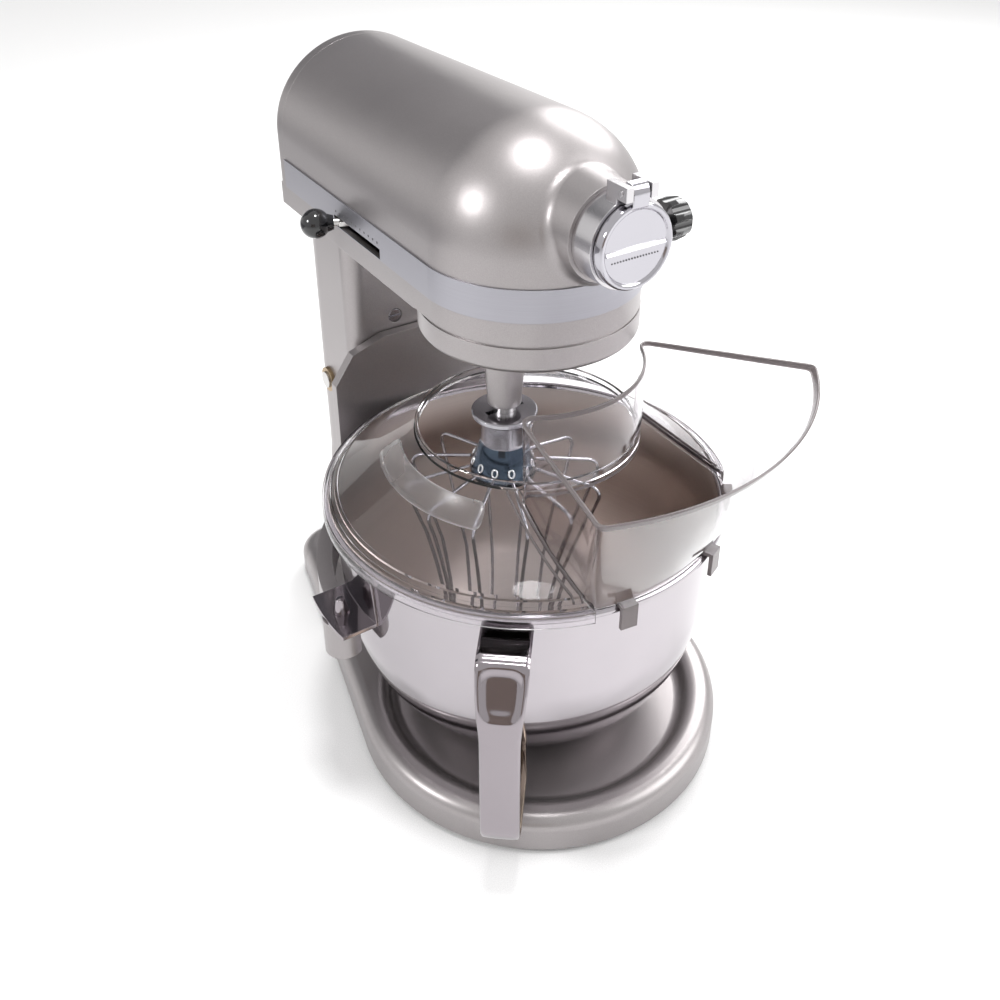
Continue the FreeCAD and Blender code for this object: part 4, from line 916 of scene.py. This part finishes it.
# ---- hub cover ----
def makeCover():
    values = {"face": -86.4, "height": 373.0, "radius": 22.4, "hinge": (-89.2, 401.4),
              "marks": 17, "markStep": 1.75, "markDrop": 5.6, "markSize": 0.52}
    turn = Matrix.Translation((0, values["face"], values["height"])) @ Matrix.Rotation(math.pi / 2, 4, "X")
    r = values["radius"]
    profile = [(0, 0), (r - 0.3, 0), (r, 0.4), (r, 4.3), (r - 0.3, 5.1), (r - 1.0, 5.6), (r - 2.2, 5.6),
               (r - 2.9, 5.2), (r - 3.5, 4.3), (0, 4.0)]
    shape = bmesh.new()
    lathe(shape, [(a, b, 0) for a, b in profile], steps=128, turn=turn)
    # a raised bar across the middle, sloping on its upper side
    bar = [(-18.6, -1.9), (18.6, -1.9), (18.6, 0.9), (-18.6, 0.9)]
    low = [shape.verts.new(place(x, values["face"] - 3.6, values["height"] + z)) for x, z in bar]
    top = [shape.verts.new(place(x, values["face"] - (5.5 if z < 0 else 4.1), values["height"] + z))
           for x, z in [(-18.2, -1.2), (18.2, -1.2), (18.4, 0.8), (-18.4, 0.8)]]
    skin(shape, [low, top], False, [0] * 4)
    # the strap rises from the cover and folds back over the hinge pin
    strap = filletPath([(-88.2, 391.5), (-92.3, 393.8), (-92.6, 400.6), (-91.2, 404.9), (-86.4, 405.1)],
                       [1.8, 6.0, 3.2], 8)
    rings = []
    for i, point in enumerate(strap):
        ahead = (strap[min(i + 1, len(strap) - 1)] - strap[max(i - 1, 0)]).normalized()
        out = Vector((-ahead.y, ahead.x)) * -1.0
        ring = []
        for u, lift in ((-5.0, 0), (-4.6, 0.5), (4.6, 0.5), (5.0, 0), (4.6, -0.5), (-4.6, -0.5)):
            spot = point + out * lift
            ring.append(shape.verts.new(place(u, spot.x, spot.y)))
        rings.append(ring)
    skin(shape, rings, False, [0] * 6)
    barrel = [(0, -5.0), (3.1, -5.0), (3.3, -4.7), (3.3, 4.7), (3.1, 5.0), (0, 5.0)]
    turn = Matrix.Translation((0, *values["hinge"])) @ Matrix.Rotation(math.pi / 2, 4, "Y")
    lathe(shape, [(a, b, 0) for a, b in barrel], steps=32, turn=turn)
    addPiece("coverDisc", shape, ["chromePlate"], "hub_flap", ["hub_cover"], 34)

    # a row of plain pips under the bar
    shape = bmesh.new()
    bmesh.ops.create_uvsphere(shape, u_segments=10, v_segments=6, radius=values["markSize"] * mm)
    middle = (values["marks"] - 1) / 2 * values["markStep"]
    copied("coverPips", shape,
           {"Count": values["marks"], "Turn": 0.0,
            "Start": tuple(place(-middle, values["face"] - 4.12, values["height"] - values["markDrop"])),
            "Step": (values["markStep"] * mm, 0.0, 0.0)}, "darkMark", "hub_flap")


makeCover()


# ---- dial scale over the lever's slot ----
def makeScale():
    values = {"count": 11, "size": 0.75, "height": 335.2, "front": (-64.15, 60.0), "rear": (-63.25, 116.0)}
    shape = bmesh.new()
    bmesh.ops.create_uvsphere(shape, u_segments=10, v_segments=6, radius=values["size"] * mm)
    bmesh.ops.scale(shape, vec=(0.35, 1.0, 1.0), verts=shape.verts)
    gaps = values["count"] - 1
    step = [(b - a) / gaps * mm for a, b in zip(values["front"], values["rear"])]
    copied("dialPips", shape,
           {"Count": values["count"], "Turn": 0.0, "Start": tuple(place(*values["front"], values["height"])),
            "Step": (*step, 0.0)}, "darkMark", "frame")


makeScale()
refinish("satinChrome", "hub_sleeve", "hub_hinge_pin")
# brackets, pins and spring take the darker steel, a painted dark reflection
refinish("steelPaintedDark", "bowl_brackets", "locating_pins", "bowl_latch_spring", "bowl_catch_pin")
refinish("blackGloss", "speed_knob")
print("hub cover and dial scale")


# ---- stage: floor, light and camera ----
def makeStage():
    values = {"size": 14.0, "colour": (0.96, 0.96, 0.965)}
    bpy.ops.mesh.primitive_plane_add(size=values["size"])
    floor = bpy.context.object
    floor.name = "floor"
    plain = matteFinish("paleFloor", values["colour"], 0.75, 0.00002)
    floor.data.materials.append(plain)


def makeLights():
    values = {"sky": 0.86,
              # name: where it stands, what it looks at, width, height, watts
              "areas": {"softbox": ((1.5, -1.2, 1.5), (0, 0, 0.25), 1.6, 1.6, 27),
                        "sideBox": ((1.45, 0.75, 1.35), (0, 0, 0.25), 1.2, 1.2, 20),
                        "lampTop": ((-0.035, -0.13, 1.75), (0, -0.05, 0.4), 0.30, 0.30, 11),
                        "lampLeft": ((-1.40, 0.12, 1.05), (-0.05, -0.07, 0.38), 0.24, 0.24, 7)},
              # name: middle, what it faces, width, height, colour
              "cards": {"cardSide": ((-1.5, 1.5, 0.02), (-1.5, 1.5, 1.0), 2.2, 2.0, (0.25, 0.245, 0.26)),
                        "cardRear": ((-0.05, 1.8, 1.30), (0, 0, 0.4), 2.1, 1.5, (0.10, 0.10, 0.11)),
                        "cardFront": ((-1.55, -1.65, 0.55), (0, 0, 0.2), 1.2, 0.8, (0.28, 0.23, 0.20))}}
    for name, (middle, target, width, height, colour) in values["cards"].items():
        shape = bmesh.new()
        bmesh.ops.create_grid(shape, x_segments=1, y_segments=1, size=0.5)
        turn = (Vector(target) - Vector(middle)).to_track_quat("Z", "Y").to_matrix().to_4x4()
        shape.transform(Matrix.Translation(middle) @ turn @ Matrix.Diagonal((width, height, 1, 1)))
        mesh = bpy.data.meshes.new(name)
        shape.to_mesh(mesh)
        shape.free()
        mesh.materials.append(matteFinish(name, colour, 0.9))
        card = link(bpy.data.objects.new(name, mesh))
        card.visible_camera = card.visible_shadow = False   # seen only in reflections
        card.visible_diffuse = card.visible_transmission = False
    world = bpy.data.worlds.new("studio")
    bpy.context.scene.world = world
    world.use_nodes = True
    background = world.node_tree.nodes["Background"]
    background.inputs["Color"].default_value = (1.0, 0.995, 0.99, 1.0)
    background.inputs["Strength"].default_value = values["sky"]
    for name, (place, target, width, height, watts) in values["areas"].items():
        light = bpy.data.lights.new(name, "AREA")
        light.shape = "ELLIPSE"
        light.size, light.size_y, light.energy = width, height, watts
        holder = link(bpy.data.objects.new(name, light))
        holder.location = place
        holder.rotation_euler = (Vector(target) - Vector(place)).to_track_quat("-Z", "Y").to_euler()


def makeCamera():
    values = {"place": (-0.31762, -0.51317, 0.58688), "target": (0.01643, 0.0088, 0.22095),
              "lens": 39.70, "shift": -0.12}
    camera = bpy.data.cameras.new("camera")
    camera.lens, camera.shift_y = values["lens"], values["shift"]
    camera.clip_start, camera.clip_end = 0.01, 50
    holder = link(bpy.data.objects.new("camera", camera))
    holder.location = values["place"]
    way = Vector(values["target"]) - Vector(values["place"])
    holder.rotation_euler = way.to_track_quat("-Z", "Y").to_euler()
    bpy.context.scene.camera = holder


makeStage()
makeLights()
makeCamera()
print("stage, lights and camera")
bpy.context.scene.view_settings.view_transform = "Standard"
